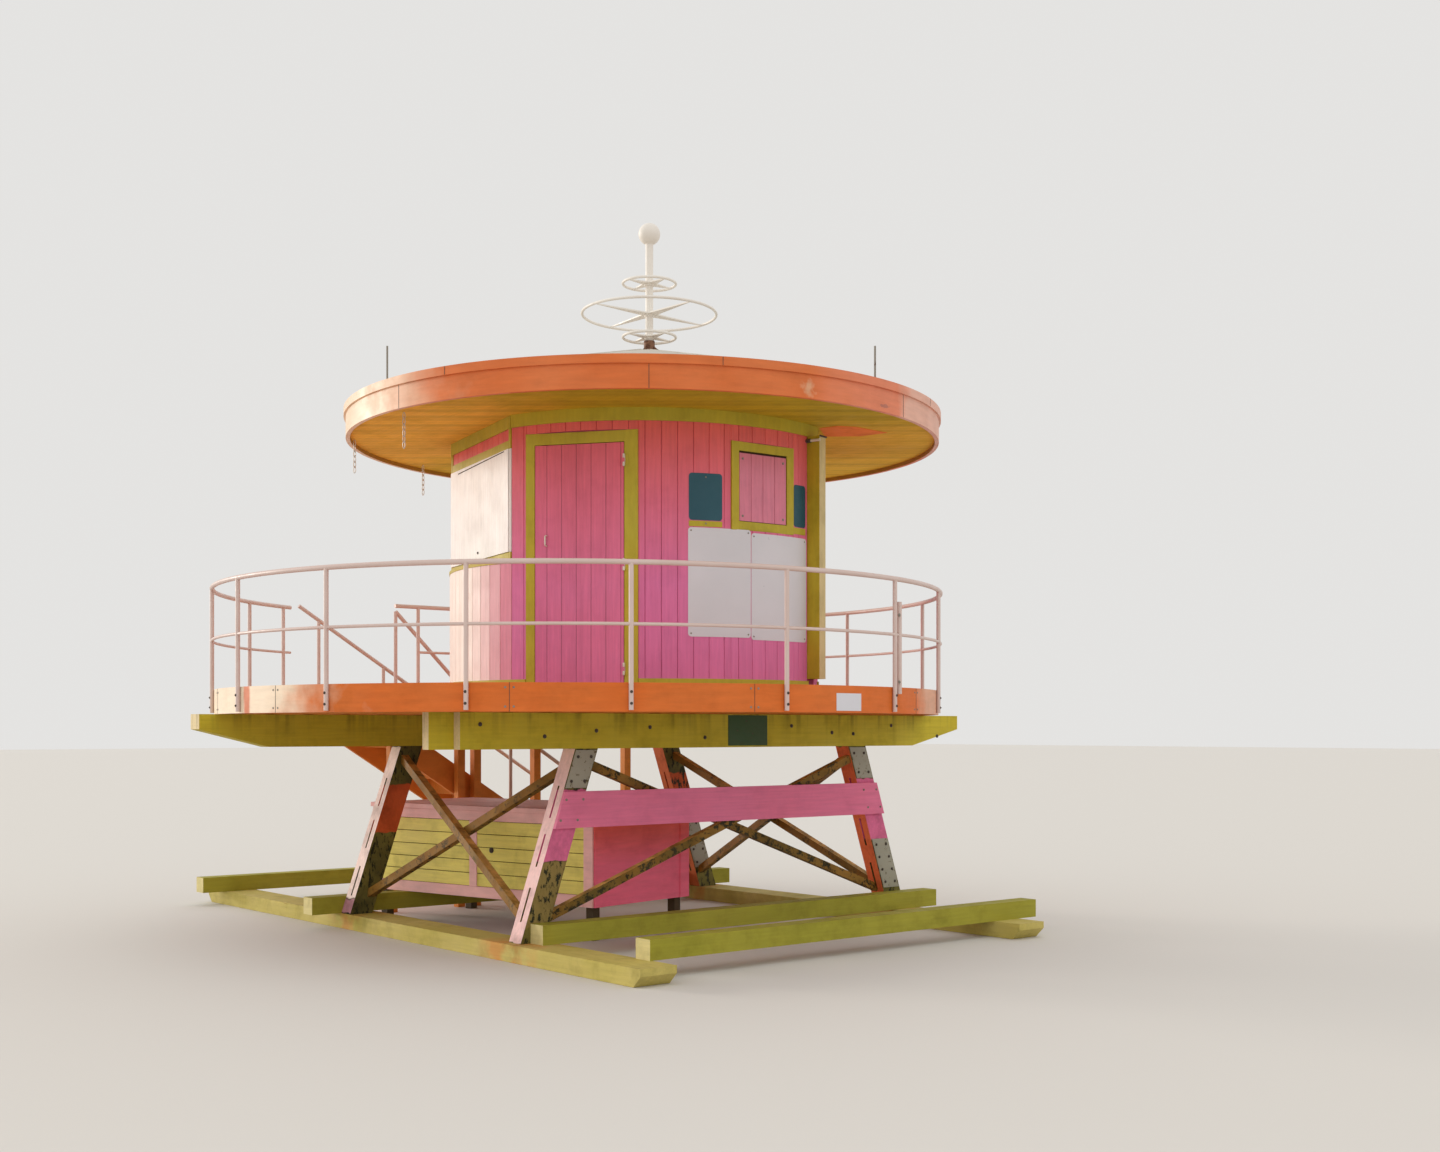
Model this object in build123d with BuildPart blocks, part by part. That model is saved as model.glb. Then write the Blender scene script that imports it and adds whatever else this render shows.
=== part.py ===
# Lifeguard tower: a round boarded hut and rail on a round deck, on splayed legs and timber runners.
# Millimetres. +X runs along the main beams, +Y along the runners, +Z up.
# The origin is on the ground, midway between the ends of the runners.
import os
from math import asin, cos, degrees, radians, sin, sqrt, tan

from build123d import *

os.makedirs("parts", exist_ok=True)

# Gap left between round faces that only rest against each other
seat_gap = 0.3

# Ground timbers
runner_width = 360.0
runner_height = 150.0
runner_half_length = 4150.0
runner_bevel = 90.0
timber_width = 190.0
timber_height = 170.0
timber_left_ends = (-1700.0, -1840.0, -2340.0, -2300.0)
timber_right_end = 3090.0
outer_timber_gap = 1130.0
back_timber_offset = 4150.0

# Deck, whose centre is nearer the viewer than the origin
deck_x = 0.0
deck_y = -500.0
deck_radius = 3600.0
deck_top = 2375.0
deck_board = 38.0
fascia_height = 235.0
fascia_thickness = 40.0
joist_width = 45.0
joist_spacing = 400.0
rim_thickness = 40.0

# Leg frame: near pair under the near beam, far pair under the far beam
frame_x = 400.0
near_frame_shift = 30.0
far_frame_shift = -50.0
leg_foot_half = 2250.0
leg_head_half = 1680.0
near_leg_offset = -1740.0
far_leg_offset = 1240.0
leg_breadth = 245.0
leg_depth = 185.0
leg_slot_width = 24.0
leg_slot_depth = 40.0
leg_slot_spans = ((330.0, 620.0), (800.0, 1080.0), (1220.0, 1500.0))
brace_size = 76.0
brace_gap = 1.0
brace_low = 310.0
brace_below_beam = 90.0

# Main beams, each of two plies
beam_height = 313.0
beam_ply = 100.0
ply_gap = 1.0
beam_taper_length = 700.0
beam_taper_rise = 170.0
beam_right_end = 3620.0
near_front_left_end = -2545.0
near_rear_left_end = -2785.0
far_left_end = -3570.0

# Cross board on the near legs
board_bottom = 1130.0
board_height = 320.0
board_thickness = 38.0

# Rail of welded pipe round the deck
pipe_radius = 22.0
mid_pipe_radius = 14.0
rail_height = 990.0
mid_rail_height = 470.0
post_drop = 222.0
post_radius = 20.0
rail_start = 118.0
rail_end = 397.0
post_angles = (120.0, 131.0, 156.5, 177.5, 198.9, 219.9, 241.0, 262.8, 285.0, 306.3, 331.0, 357.5, 376.5, 395.0)
guard_set_back = 70.0
guard_left_end = -932.0
guard_end_gap = 60.0
guard_post_places = (-648.0, 300.0, 1240.0, 2180.0)

# Stair in a notch on the far side of the deck
notch_left = -1330.0
notch_offset = 2300.0
stair_width = 900.0
stair_clearance = 50.0
stair_slope = 32.0
stair_rises = 13
stringer_thickness = 45.0
stringer_depth = 290.0
stringer_drop = 10.0
tread_thickness = 38.0
riser_thickness = 18.0
stair_post = 90.0
deck_post_places = (-940.0, -92.0, 117.0, 924.0, 2232.0)
handrail_height = 880.0
handrail_end = 1650.0
far_handrail_start = -1540.0
near_handrail_start = -847.0
near_handrail_extra = 350.0
near_handrail_bend = 116.0
near_handrail_posts = (-847.0, 644.0, 1600.0)
far_handrail_posts = (-1300.0, -490.0, 500.0, 1600.0)

# Hut, roof and mast share one centre
hut_x = 350.0
hut_y = deck_y - 580.0
hut_radius = 1930.0
wall_thickness = 95.0
wall_left_angle = -166.0
wall_right_angle = -70.0
bay_count = 4
bay_turn = 52.8
half_wall_height = 1140.0
cap_thickness = 30.0
cap_lip = 15.0
bay_wall_thickness = 80.0
shutter_sill = 110.0
shutter_height = 870.0
shutter_thickness = 30.0
shutter_margin = 35.0
frieze_height = 115.0
frieze_thickness = 20.0
corner_post_width = 112.0
corner_post_depth = 140.0
corner_post_turn = 3.75
corner_post_foot = 95.0

# Door, flat, in the round wall
door_angle = -144.9
door_width = 841.0
door_height = 2180.0
door_thickness = 45.0
door_gap = 6.0
door_frame_left = 85.0
door_frame_right = 125.0
door_frame_head = 103.0
door_frame_depth = 130.0
door_face = 1880.0
hinge_radius = 8.0
hinge_pin_radius = 3.0
hinge_length = 110.0
hinge_stand = 14.0
hinge_plate_width = 40.0
hinge_plate_thickness = 4.0
hinge_heights = (160.0, 1090.0, 2020.0)
handle_height = 1320.0
handle_inset = 110.0
handle_length = 90.0
handle_stand = 40.0
handle_bar = 7.0

# Small window in the near wall, closed by a shutter
window_angle = -92.9
window_width = 560.0
window_height = 640.0
window_sill = 1505.0
window_frame_width = 80.0
window_frame_depth = 120.0
window_face = 1918.0
window_shutter_thickness = 25.0

# Roof
roof_radius = 2940.0
wall_height = 2485.0
roof_lip = 40.0
roof_lower_band = 207.0
roof_upper_band = 76.0
roof_band_step = 20.0
roof_band_thickness = 40.0
soffit_thickness = 25.0
roof_rise = 680.0
roof_skin = 25.0
roof_crown = 200.0

# Mast, whose heights are above the top of the roof
mast_shift_x = 35.0
mast_shift_y = -30.0
mast_radius = 39.0
ball_radius = 110.0
mast_height = 1207.0
mast_foot_radius = 120.0
mast_foot_height = 20.0
ring_tube = 14.0
ring_sizes = ((167.0, 280.0), (397.0, 690.0), (707.0, 280.0))
fin_thickness = 12.0
fin_root = 120.0
fin_count = 4
fin_turn = 0.0

# Storage locker under the deck
locker_x = -710.0
locker_y = deck_y - 1180.0
locker_turn = 12.0
locker_length = 3140.0
locker_width = 1400.0
locker_height = 865.0
locker_wall = 30.0
lid_thickness = 45.0
lid_overhang = 25.0
locker_foot = 90.0
locker_foot_inset = 100.0

# Levels and places that follow from those
timber_top = runner_height + timber_height
beam_top = deck_top - fascia_height
beam_bottom = beam_top - beam_height
boards_bottom = deck_top - deck_board
roof_bottom = deck_top + wall_height
deck_inner = deck_radius - fascia_thickness
deck = (deck_x, deck_y)
hut = (hut_x, hut_y)
mast_place = (hut_x + mast_shift_x, hut_y + mast_shift_y)
near_leg_y = deck_y + near_leg_offset
far_leg_y = deck_y + far_leg_offset
near_leg_face = near_leg_y - leg_depth / 2
notch_edge = deck_y + notch_offset


def save(piece, name):
    """Label one finished sub-part and write it under its own name."""
    piece.label = name
    export_step(piece, f"parts/{name}.step")


def group(pieces):
    """Like pieces that share a sub-part."""
    return Compound(children=list(pieces))


def block(x0, x1, y0, y1, z0, z1):
    """A plain timber between two corners."""
    with BuildPart() as piece:
        with BuildSketch(Plane(origin=((x0 + x1) / 2, (y0 + y1) / 2, z0))):
            Rectangle(x1 - x0, y1 - y0)
        extrude(amount=z1 - z0)
    return piece.part


def upright(outline, y, thickness):
    """A plank on edge: its outline in X and Z, from y towards +Y."""
    with BuildPart() as piece:
        with BuildSketch(Plane(origin=(0, y + thickness, 0), x_dir=(1, 0, 0), z_dir=(0, -1, 0))):
            Polygon(*outline, align=None)
        extrude(amount=thickness)
    return piece.part


def arc_wall(centre, outer, thickness, start, end, z0, z1):
    """An upright wall that follows part of a circle, from start to end in degrees."""
    with BuildPart() as piece:
        with BuildSketch(Plane(origin=(centre[0], centre[1], z0))):
            with BuildLine():
                outside = CenterArc((0, 0), outer, start, end - start)
                inside = CenterArc((0, 0), outer - thickness, start, end - start)
                Line(outside @ 0, inside @ 0)
                Line(outside @ 1, inside @ 1)
            make_face()
        extrude(amount=z1 - z0)
    return piece.part


def facet(angle, distance):
    """An upright plane facing outwards from the hut: sketch X along the wall, sketch Y up."""
    outwards = (cos(radians(angle)), sin(radians(angle)), 0)
    along = (-sin(radians(angle)), cos(radians(angle)), 0)
    origin = (hut_x + distance * outwards[0], hut_y + distance * outwards[1], 0)
    return Plane(origin=origin, x_dir=along, z_dir=outwards)


def panel(plane, x0, x1, z0, z1, thickness):
    """A flat upright panel behind its plane, from z0 to z1."""
    with BuildPart() as piece:
        with BuildSketch(plane):
            with Locations(((x0 + x1) / 2, (z0 + z1) / 2)):
                Rectangle(x1 - x0, z1 - z0)
        extrude(amount=-thickness)
    return piece.part


def mitred_panel(angle, half_turn, distance, thickness, z0, z1):
    """A flat upright panel behind a facet, its ends cut on lines through the hut's centre."""
    reach = distance * tan(radians(half_turn)) - seat_gap
    back = reach - thickness * tan(radians(half_turn))
    plan = Plane(
        origin=(hut_x + distance * cos(radians(angle)), hut_y + distance * sin(radians(angle)), z0),
        x_dir=(-sin(radians(angle)), cos(radians(angle)), 0),
    )
    with BuildPart() as piece:
        with BuildSketch(plan):
            Polygon((-reach, 0), (reach, 0), (back, thickness), (-back, thickness), align=None)
        extrude(amount=z1 - z0)
    return piece.part


def pipe(start, end, radius):
    """A straight round pipe between two points."""
    way = Vector(*end) - Vector(*start)
    with BuildPart() as piece:
        with BuildSketch(Plane(origin=start, z_dir=way)):
            Circle(radius)
        extrude(amount=way.length)
    return piece.part


def pipework(runs):
    """Straight pipes welded into one piece: start, end and radius of each."""
    with BuildPart() as piece:
        for start, end, radius in runs:
            add(pipe(start, end, radius))
    return piece.part


# Runners, with their ends bevelled underneath like a sledge
runners = []
for side in (-1, 1):
    runner_side = frame_x + side * leg_foot_half - runner_width / 2
    with BuildPart() as runner:
        with BuildSketch(Plane(origin=(runner_side, 0, 0), x_dir=(0, 1, 0), z_dir=(1, 0, 0))):
            Rectangle(2 * runner_half_length, runner_height, align=(Align.CENTER, Align.MIN))
        extrude(amount=runner_width)
        chamfer(runner.edges().filter_by(Axis.X).group_by(Axis.Z)[0], runner_bevel)
    runners.append(runner.part)
save(group(runners), "runners")

# Cross timbers on the runners: outermost, against the near legs, behind the far legs, back
inner_timber_y = near_leg_face - timber_width
timber_places = (
    inner_timber_y - outer_timber_gap - timber_width,
    inner_timber_y,
    far_leg_y + leg_depth / 2,
    deck_y + back_timber_offset,
)
save(
    group(
        block(left_end, timber_right_end, y, y + timber_width, runner_height, timber_top)
        for y, left_end in zip(timber_places, timber_left_ends)
    ),
    "cross_timbers",
)

# Legs: splayed along X, each of two planks with slots showing between them
leg_lean = (leg_foot_half - leg_head_half) / (beam_bottom - runner_height)


def leg_middle(side, y, z):
    """Where the middle of a leg is along X at height z, for the row of legs at y."""
    shift = near_frame_shift if y == near_leg_y else far_frame_shift
    return frame_x + shift + side * (leg_foot_half - leg_lean * (z - runner_height))


def leg(side, y):
    """One leg with slots down both narrow faces."""
    foot = leg_middle(side, y, runner_height)
    head = leg_middle(side, y, beam_bottom)
    half = leg_breadth / 2
    outline = (
        (foot - half, runner_height),
        (foot + half, runner_height),
        (head + half, beam_bottom),
        (head - half, beam_bottom),
    )
    with BuildPart() as piece:
        add(upright(outline, y - leg_depth / 2, leg_depth))
        for low, high in leg_slot_spans:
            for edge in (-1, 1):
                low_x = leg_middle(side, y, low) + edge * half
                high_x = leg_middle(side, y, high) + edge * half
                slot = (
                    (low_x + edge, low),
                    (low_x - edge * leg_slot_depth, low),
                    (high_x - edge * leg_slot_depth, high),
                    (high_x + edge, high),
                )
                add(upright(slot, y - leg_slot_width / 2, leg_slot_width), mode=Mode.SUBTRACT)
    return piece.part


legs = [leg(side, y) for y in (near_leg_y, far_leg_y) for side in (-1, 1)]
save(group(legs), "legs")


# Braces: two crossing timbers on a side, back to back where they pass, cut off at the legs
def brace(start, end, outwards, level):
    """A square timber from start to end, shifted outwards by level."""
    way = Vector(*end) - Vector(*start)
    origin = Vector(*start) + Vector(*outwards) * level
    with BuildPart() as piece:
        with BuildSketch(Plane(origin=origin, x_dir=outwards, z_dir=way)):
            Rectangle(brace_size, brace_size)
        extrude(amount=way.length)
        for carrier in legs:
            add(carrier, mode=Mode.SUBTRACT)
    return piece.part.solids().sort_by(SortBy.VOLUME)[-1]


def crossing(corners, outwards):
    """Both braces of one side: corners are low and high at one leg, then low and high at the other."""
    shift = (brace_size + brace_gap) / 2
    return group(
        [
            brace(corners[0], corners[3], outwards, shift),
            brace(corners[2], corners[1], outwards, -shift),
        ]
    )


brace_high = beam_bottom - brace_below_beam
brace_levels = (brace_low, brace_high)
near_corners = [(leg_middle(side, near_leg_y, z), near_leg_y, z) for side in (-1, 1) for z in brace_levels]
save(crossing(near_corners, (0, -1, 0)), "braces_front")
for name, side in (("braces_left", -1), ("braces_right", 1)):
    side_corners = [(leg_middle(side, y, z), y, z) for y in (near_leg_y, far_leg_y) for z in brace_levels]
    save(crossing(side_corners, (side, 0, 0)), name)

# Cross board on the near faces of the near legs, its ends cut to the splay
board_top = board_bottom + board_height
board_outline = [
    (leg_middle(side, near_leg_y, z) + side * leg_breadth / 2, z)
    for side, z in ((-1, board_bottom), (1, board_bottom), (1, board_top), (-1, board_top))
]
save(upright(board_outline, near_leg_face - board_thickness, board_thickness), "cross_board")


# Main beams: each ply is a plank on edge, with a long taper under some ends
def beam_plank(left_end, y, left_tapered):
    """One ply from left_end to the common right end, whose underside rises towards tapered ends."""
    outline = [
        (left_end, beam_top),
        (beam_right_end, beam_top),
        (beam_right_end, beam_bottom + beam_taper_rise),
        (beam_right_end - beam_taper_length, beam_bottom),
    ]
    if left_tapered:
        outline += [(left_end + beam_taper_length, beam_bottom), (left_end, beam_bottom + beam_taper_rise)]
    else:
        outline += [(left_end, beam_bottom)]
    return upright(outline, y, beam_ply)


near_plies = (near_leg_y - ply_gap / 2 - beam_ply, near_leg_y + ply_gap / 2)
far_plies = (far_leg_y - ply_gap / 2 - beam_ply, far_leg_y + ply_gap / 2)
save(
    group(
        [
            beam_plank(near_front_left_end, near_plies[0], False),
            beam_plank(near_rear_left_end, near_plies[1], False),
        ]
    ),
    "near_beam",
)
save(group(beam_plank(far_left_end, y, True) for y in far_plies), "far_beam")

# Deck boards, with a notch for the stair
notch_y = notch_offset
with BuildPart() as deck_floor:
    with BuildSketch(Plane(origin=(deck_x, deck_y, boards_bottom))):
        Circle(deck_inner)
        with Locations((notch_left - deck_x, notch_y)):
            Rectangle(2 * deck_radius, deck_radius, align=(Align.MIN, Align.MIN), mode=Mode.SUBTRACT)
    extrude(amount=deck_board)
save(deck_floor.part, "deck_floor")

# Rim boards along the notch, under the deck boards
with BuildPart() as opening_trim:
    with BuildSketch(Plane(origin=(deck_x, deck_y, beam_top))):
        with Locations((notch_left - deck_x - rim_thickness, notch_y - rim_thickness)):
            Rectangle(2 * deck_radius, rim_thickness, align=(Align.MIN, Align.MIN))
            Rectangle(rim_thickness, deck_radius, align=(Align.MIN, Align.MIN))
        Circle(deck_inner, mode=Mode.INTERSECT)
    extrude(amount=boards_bottom - beam_top)
save(opening_trim.part, "opening_trim")

# Joists across the beams, cut to the fascia and to the rim of the notch
joist_count = int((deck_inner - joist_width) / joist_spacing)
joists = []
for number in range(-joist_count, joist_count + 1):
    offset = number * joist_spacing
    reach = sqrt(deck_inner**2 - (abs(offset) + joist_width / 2) ** 2)
    meets_rim = offset + joist_width / 2 > notch_left - deck_x - rim_thickness
    far_reach = min(reach, notch_y - rim_thickness) if meets_rim else reach
    x = deck_x + offset - joist_width / 2
    joists.append(block(x, x + joist_width, deck_y - reach, deck_y + far_reach, beam_top, boards_bottom))
save(group(joists), "deck_joists")

# Fascia round the deck's edge, open at the notch
fascia_start = 90.0 + degrees(asin((deck_x - notch_left) / deck_inner))
fascia_end = 360.0 + degrees(asin(notch_y / deck_radius))
save(
    arc_wall(deck, deck_radius, fascia_thickness, fascia_start, fascia_end, beam_top, deck_top),
    "deck_fascia",
)

# Rail: four welded sections, their posts strapped down over the fascia
rail_radius = deck_radius + post_radius + seat_gap
rail_top = deck_top + rail_height - pipe_radius
mid_rail = deck_top + mid_rail_height
post_foot = deck_top - post_drop
rail_names = ("rail_far_left", "rail_near_left", "rail_near_right", "rail_far_right")
rail_span = (rail_end - rail_start) / len(rail_names)


def rail_point(angle, z):
    """A point above the rail's circle."""
    return (deck_x + rail_radius * cos(radians(angle)), deck_y + rail_radius * sin(radians(angle)), z)


def arc_pipe(start, end, z, radius):
    """A level pipe round the deck's edge, from start to end in degrees."""
    with BuildPart() as piece:
        with BuildLine():
            path = CenterArc((deck_x, deck_y, z), rail_radius, start, end - start)
        with BuildSketch(Plane(origin=path @ 0, z_dir=path % 0)):
            Circle(radius)
        sweep()
    return piece.part


for number, name in enumerate(rail_names):
    start = rail_start + number * rail_span
    end = start + rail_span
    with BuildPart() as section:
        add(arc_pipe(start, end, rail_top, pipe_radius))
        add(arc_pipe(start, end, mid_rail, mid_pipe_radius))
        for angle in post_angles:
            if start < angle < end:
                add(pipe(rail_point(angle, post_foot), rail_point(angle, rail_top), post_radius))
    save(section.part, name)

# Guard rail along the notch, standing on the deck
guard_y = notch_edge - guard_set_back
guard_right_end = deck_x + sqrt((deck_radius - pipe_radius) ** 2 - (guard_y - deck_y) ** 2) - guard_end_gap
guard_runs = [
    ((guard_left_end, guard_y, rail_top), (guard_right_end, guard_y, rail_top), pipe_radius),
    ((guard_post_places[0], guard_y, mid_rail), (guard_right_end, guard_y, mid_rail), mid_pipe_radius),
]
guard_runs += [((x, guard_y, deck_top), (x, guard_y, rail_top), post_radius) for x in guard_post_places]
save(pipework(guard_runs), "guard_rail")

# Stair: two stringers, treads between them, and pipe handrails
stair_fall = tan(radians(stair_slope))
rise = deck_top / stair_rises
run = rise / stair_fall
near_stringer_y = notch_edge + stair_clearance
far_stringer_y = near_stringer_y + stringer_thickness + stair_width
stringer_head = deck_top - stringer_drop
stringer_plumb = stringer_depth / cos(radians(stair_slope))
stringer_outline = (
    (notch_left, stringer_head),
    (notch_left + stringer_head / stair_fall, 0),
    (notch_left + (stringer_head - stringer_plumb) / stair_fall, 0),
    (notch_left, stringer_head - stringer_plumb),
)
stringers = [upright(stringer_outline, y, stringer_thickness) for y in (near_stringer_y, far_stringer_y)]
save(group(stringers), "stair_stringers")

treads = []
for number in range(1, stair_rises):
    x = notch_left + (number - 1) * run
    top = deck_top - number * rise
    inner_y = near_stringer_y + stringer_thickness
    with BuildPart() as tread:
        add(block(x, x + run, inner_y, far_stringer_y, top - tread_thickness, top))
        add(block(x + run - riser_thickness, x + run, inner_y, far_stringer_y, top - rise + seat_gap, top))
    treads.append(tread.part)
save(group(treads), "stair_treads")


def stringer_top(x):
    """Height of a stringer's upper edge."""
    return stringer_head - (x - notch_left) * stair_fall


def handrail(y, bends, post_places):
    """A pipe bent at some places, on posts that stand on one stringer: bends are X and height."""
    with BuildPart() as piece:
        for (x0, z0), (x1, z1) in zip(bends[:-1], bends[1:]):
            add(pipe((x0, y, z0), (x1, y, z1), pipe_radius))
            for x in post_places:
                if x0 <= x <= x1:
                    foot = (x, y, stringer_top(x) - 2 * pipe_radius)
                    add(pipe(foot, (x, y, z0 + (z1 - z0) * (x - x0) / (x1 - x0)), post_radius))
        for x, z in bends[1:-1]:
            with Locations((x, y, z)):
                Sphere(pipe_radius)
        for stringer in stringers:
            add(stringer, mode=Mode.SUBTRACT)
    return piece.part.solids().sort_by(SortBy.VOLUME)[-1]


def rail_height_at(x):
    """Height of a handrail that runs along with the stair."""
    return stringer_top(x) + handrail_height


near_bends = (
    (near_handrail_start, rail_height_at(near_handrail_start) + near_handrail_extra),
    (near_handrail_bend, rail_height_at(near_handrail_bend)),
    (handrail_end, rail_height_at(handrail_end)),
)
far_bends = (
    (far_handrail_start, rail_height_at(far_handrail_start)),
    (handrail_end, rail_height_at(handrail_end)),
)
save(
    group(
        [
            handrail(near_stringer_y + stringer_thickness / 2, near_bends, near_handrail_posts),
            handrail(far_stringer_y + stringer_thickness / 2, far_bends, far_handrail_posts),
        ]
    ),
    "stair_handrails",
)

# Posts from the ground to the rim of the notch
post_y = notch_edge - rim_thickness / 2
save(
    group(
        block(x - stair_post / 2, x + stair_post / 2, post_y - stair_post / 2, post_y + stair_post / 2, 0, beam_top)
        for x in deck_post_places
    ),
    "deck_posts",
)

# Hut: a tall round wall on the landward side, parted by the doorway
frame_half = (door_frame_left + door_frame_right + door_width) / 2 + door_gap
frame_top = deck_top + door_height + door_gap + door_frame_head
opening_left = -frame_half + door_frame_left
opening_right = frame_half - door_frame_right
cut_depth = 4 * wall_thickness
doorway = panel(facet(door_angle, hut_radius + wall_thickness), -frame_half, frame_half, 0, roof_bottom, cut_depth)
above_door = panel(
    facet(door_angle, hut_radius + wall_thickness), -frame_half, frame_half, frame_top, roof_bottom, cut_depth
)
window_half = window_width / 2 + window_frame_width
window_low = deck_top + window_sill - window_frame_width
window_high = deck_top + window_sill + window_height + window_frame_width
window_hole = panel(
    facet(window_angle, hut_radius + wall_thickness), -window_half, window_half, window_low, window_high, cut_depth
)

with BuildPart() as wall_left:
    add(arc_wall(hut, hut_radius, wall_thickness, wall_left_angle, door_angle, deck_top, roof_bottom))
    add(doorway, mode=Mode.SUBTRACT)
save(wall_left.part, "wall_left")

with BuildPart() as wall_right:
    add(arc_wall(hut, hut_radius, wall_thickness, door_angle, wall_right_angle, deck_top, roof_bottom))
    add(doorway, mode=Mode.SUBTRACT)
    add(window_hole, mode=Mode.SUBTRACT)
save(wall_right.part, "wall_right")

with BuildPart() as wall_over_door:
    add(arc_wall(hut, hut_radius, wall_thickness, wall_left_angle, wall_right_angle, frame_top, roof_bottom))
    add(above_door, mode=Mode.INTERSECT)
save(wall_over_door.part, "wall_over_door")

# Hut: a flat tall wall beside the round one, then a low round wall with flat shuttered bays on it
flat_wall_angle = wall_right_angle + bay_turn / 2
facet_distance = hut_radius * cos(radians(bay_turn / 2))
save(
    mitred_panel(flat_wall_angle, bay_turn / 2, facet_distance, bay_wall_thickness, deck_top, roof_bottom),
    "wall_flat",
)

low_wall_start = wall_right_angle + bay_turn
low_wall_end = wall_left_angle + 360.0
low_wall_top = deck_top + half_wall_height
bay_angles = [low_wall_start + (number + 0.5) * bay_turn for number in range(bay_count)]
cap_inner = facet_distance - bay_wall_thickness
cap_outer = hut_radius + cap_lip
bay_low = low_wall_top + cap_thickness
opening_low = deck_top + half_wall_height + cap_thickness + shutter_sill
opening_high = opening_low + shutter_height
bay_half = facet_distance * tan(radians(bay_turn / 2))
low_walls = []
bay_walls = []
bay_shutters = []
joint_turn = degrees(seat_gap / hut_radius)
for angle in bay_angles:
    start = angle - bay_turn / 2 + joint_turn
    end = angle + bay_turn / 2 - joint_turn
    low_walls.append(arc_wall(hut, hut_radius, wall_thickness, start, end, deck_top, low_wall_top))
    light_half = bay_half - 3 * shutter_margin
    with BuildPart() as bay_wall:
        add(mitred_panel(angle, bay_turn / 2, facet_distance, bay_wall_thickness, bay_low, roof_bottom))
        add(
            panel(facet(angle, hut_radius), -light_half, light_half, opening_low, opening_high, hut_radius / 2),
            mode=Mode.SUBTRACT,
        )
    bay_walls.append(bay_wall.part)
    shutter_half = bay_half - shutter_margin
    bay_shutters.append(
        panel(
            facet(angle, facet_distance + shutter_thickness),
            -shutter_half,
            shutter_half,
            opening_low - shutter_margin,
            opening_high + shutter_margin,
            shutter_thickness,
        )
    )
save(group(low_walls), "low_walls")
save(group(bay_walls), "bay_walls")
save(group(bay_shutters), "bay_shutters")
save(
    arc_wall(hut, cap_outer, cap_outer - cap_inner, low_wall_start, low_wall_end, low_wall_top, bay_low),
    "low_wall_cap",
)

# Frieze under the soffit, on the faces of all the walls
frieze_low = roof_bottom - frieze_height
frieze = [
    arc_wall(
        hut, hut_radius + frieze_thickness, frieze_thickness, wall_left_angle, wall_right_angle, frieze_low, roof_bottom
    )
]
for angle in [flat_wall_angle] + bay_angles:
    reach = bay_half - 1.0
    frieze.append(
        panel(facet(angle, facet_distance + frieze_thickness), -reach, reach, frieze_low, roof_bottom, frieze_thickness)
    )
save(group(frieze), "frieze")

# Corner post standing out from the round wall near its right end, its back cut to the wall's curve
with BuildPart() as corner:
    add(
        panel(
            facet(wall_right_angle - corner_post_turn, hut_radius + corner_post_depth),
            -corner_post_width / 2,
            corner_post_width / 2,
            deck_top + corner_post_foot,
            frieze_low,
            2 * corner_post_depth,
        )
    )
    add(
        arc_wall(
            hut, hut_radius, hut_radius / 2, wall_right_angle - bay_turn, wall_right_angle, deck_top, roof_bottom
        ),
        mode=Mode.SUBTRACT,
    )
save(corner.part.solids().sort_by(SortBy.VOLUME)[-1], "corner_post")

# Door frame, flat, standing a little proud of the round wall
opening_top = deck_top + door_height + door_gap
with BuildPart() as door_frame:
    with BuildSketch(facet(door_angle, door_face)):
        with Locations((0, (deck_top + frame_top) / 2)):
            Rectangle(2 * frame_half, frame_top - deck_top)
        with Locations(((opening_left + opening_right) / 2, (deck_top + opening_top) / 2)):
            Rectangle(opening_right - opening_left, opening_top - deck_top, mode=Mode.SUBTRACT)
    extrude(amount=-door_frame_depth)
save(door_frame.part, "door_frame")

# Door hinges: each has two knuckles and a pin on the frame, and one knuckle on the door between them
door_bottom = deck_top + 2 * door_gap
door_left = opening_left + door_gap
door_right = opening_right - door_gap
hinge_x = (door_right + opening_right) / 2
knuckle_length = (hinge_length - 2 * seat_gap) / 3
knuckle_step = knuckle_length + seat_gap


def knuckles(side, root, lows, bore):
    """Knuckles joined to a plate on one side of the gap: side is +1 on the frame, -1 on the door."""
    with BuildPart() as piece:
        for low in lows:
            foot = facet(door_angle, door_face + hinge_stand).from_local_coords((hinge_x, low, 0))
            reach = sorted((root, hinge_x + side * (hinge_radius + hinge_plate_thickness)))
            with BuildSketch(Plane(origin=foot)):
                Circle(hinge_radius)
            extrude(amount=knuckle_length)
            add(
                panel(
                    facet(door_angle, door_face + hinge_stand + hinge_radius / 2),
                    reach[0],
                    reach[1],
                    low,
                    low + knuckle_length,
                    hinge_stand + hinge_radius / 2,
                )
            )
            with BuildSketch(Plane(origin=foot)):
                Circle(bore)
            extrude(amount=knuckle_length, mode=Mode.SUBTRACT)
    return piece.part


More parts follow.
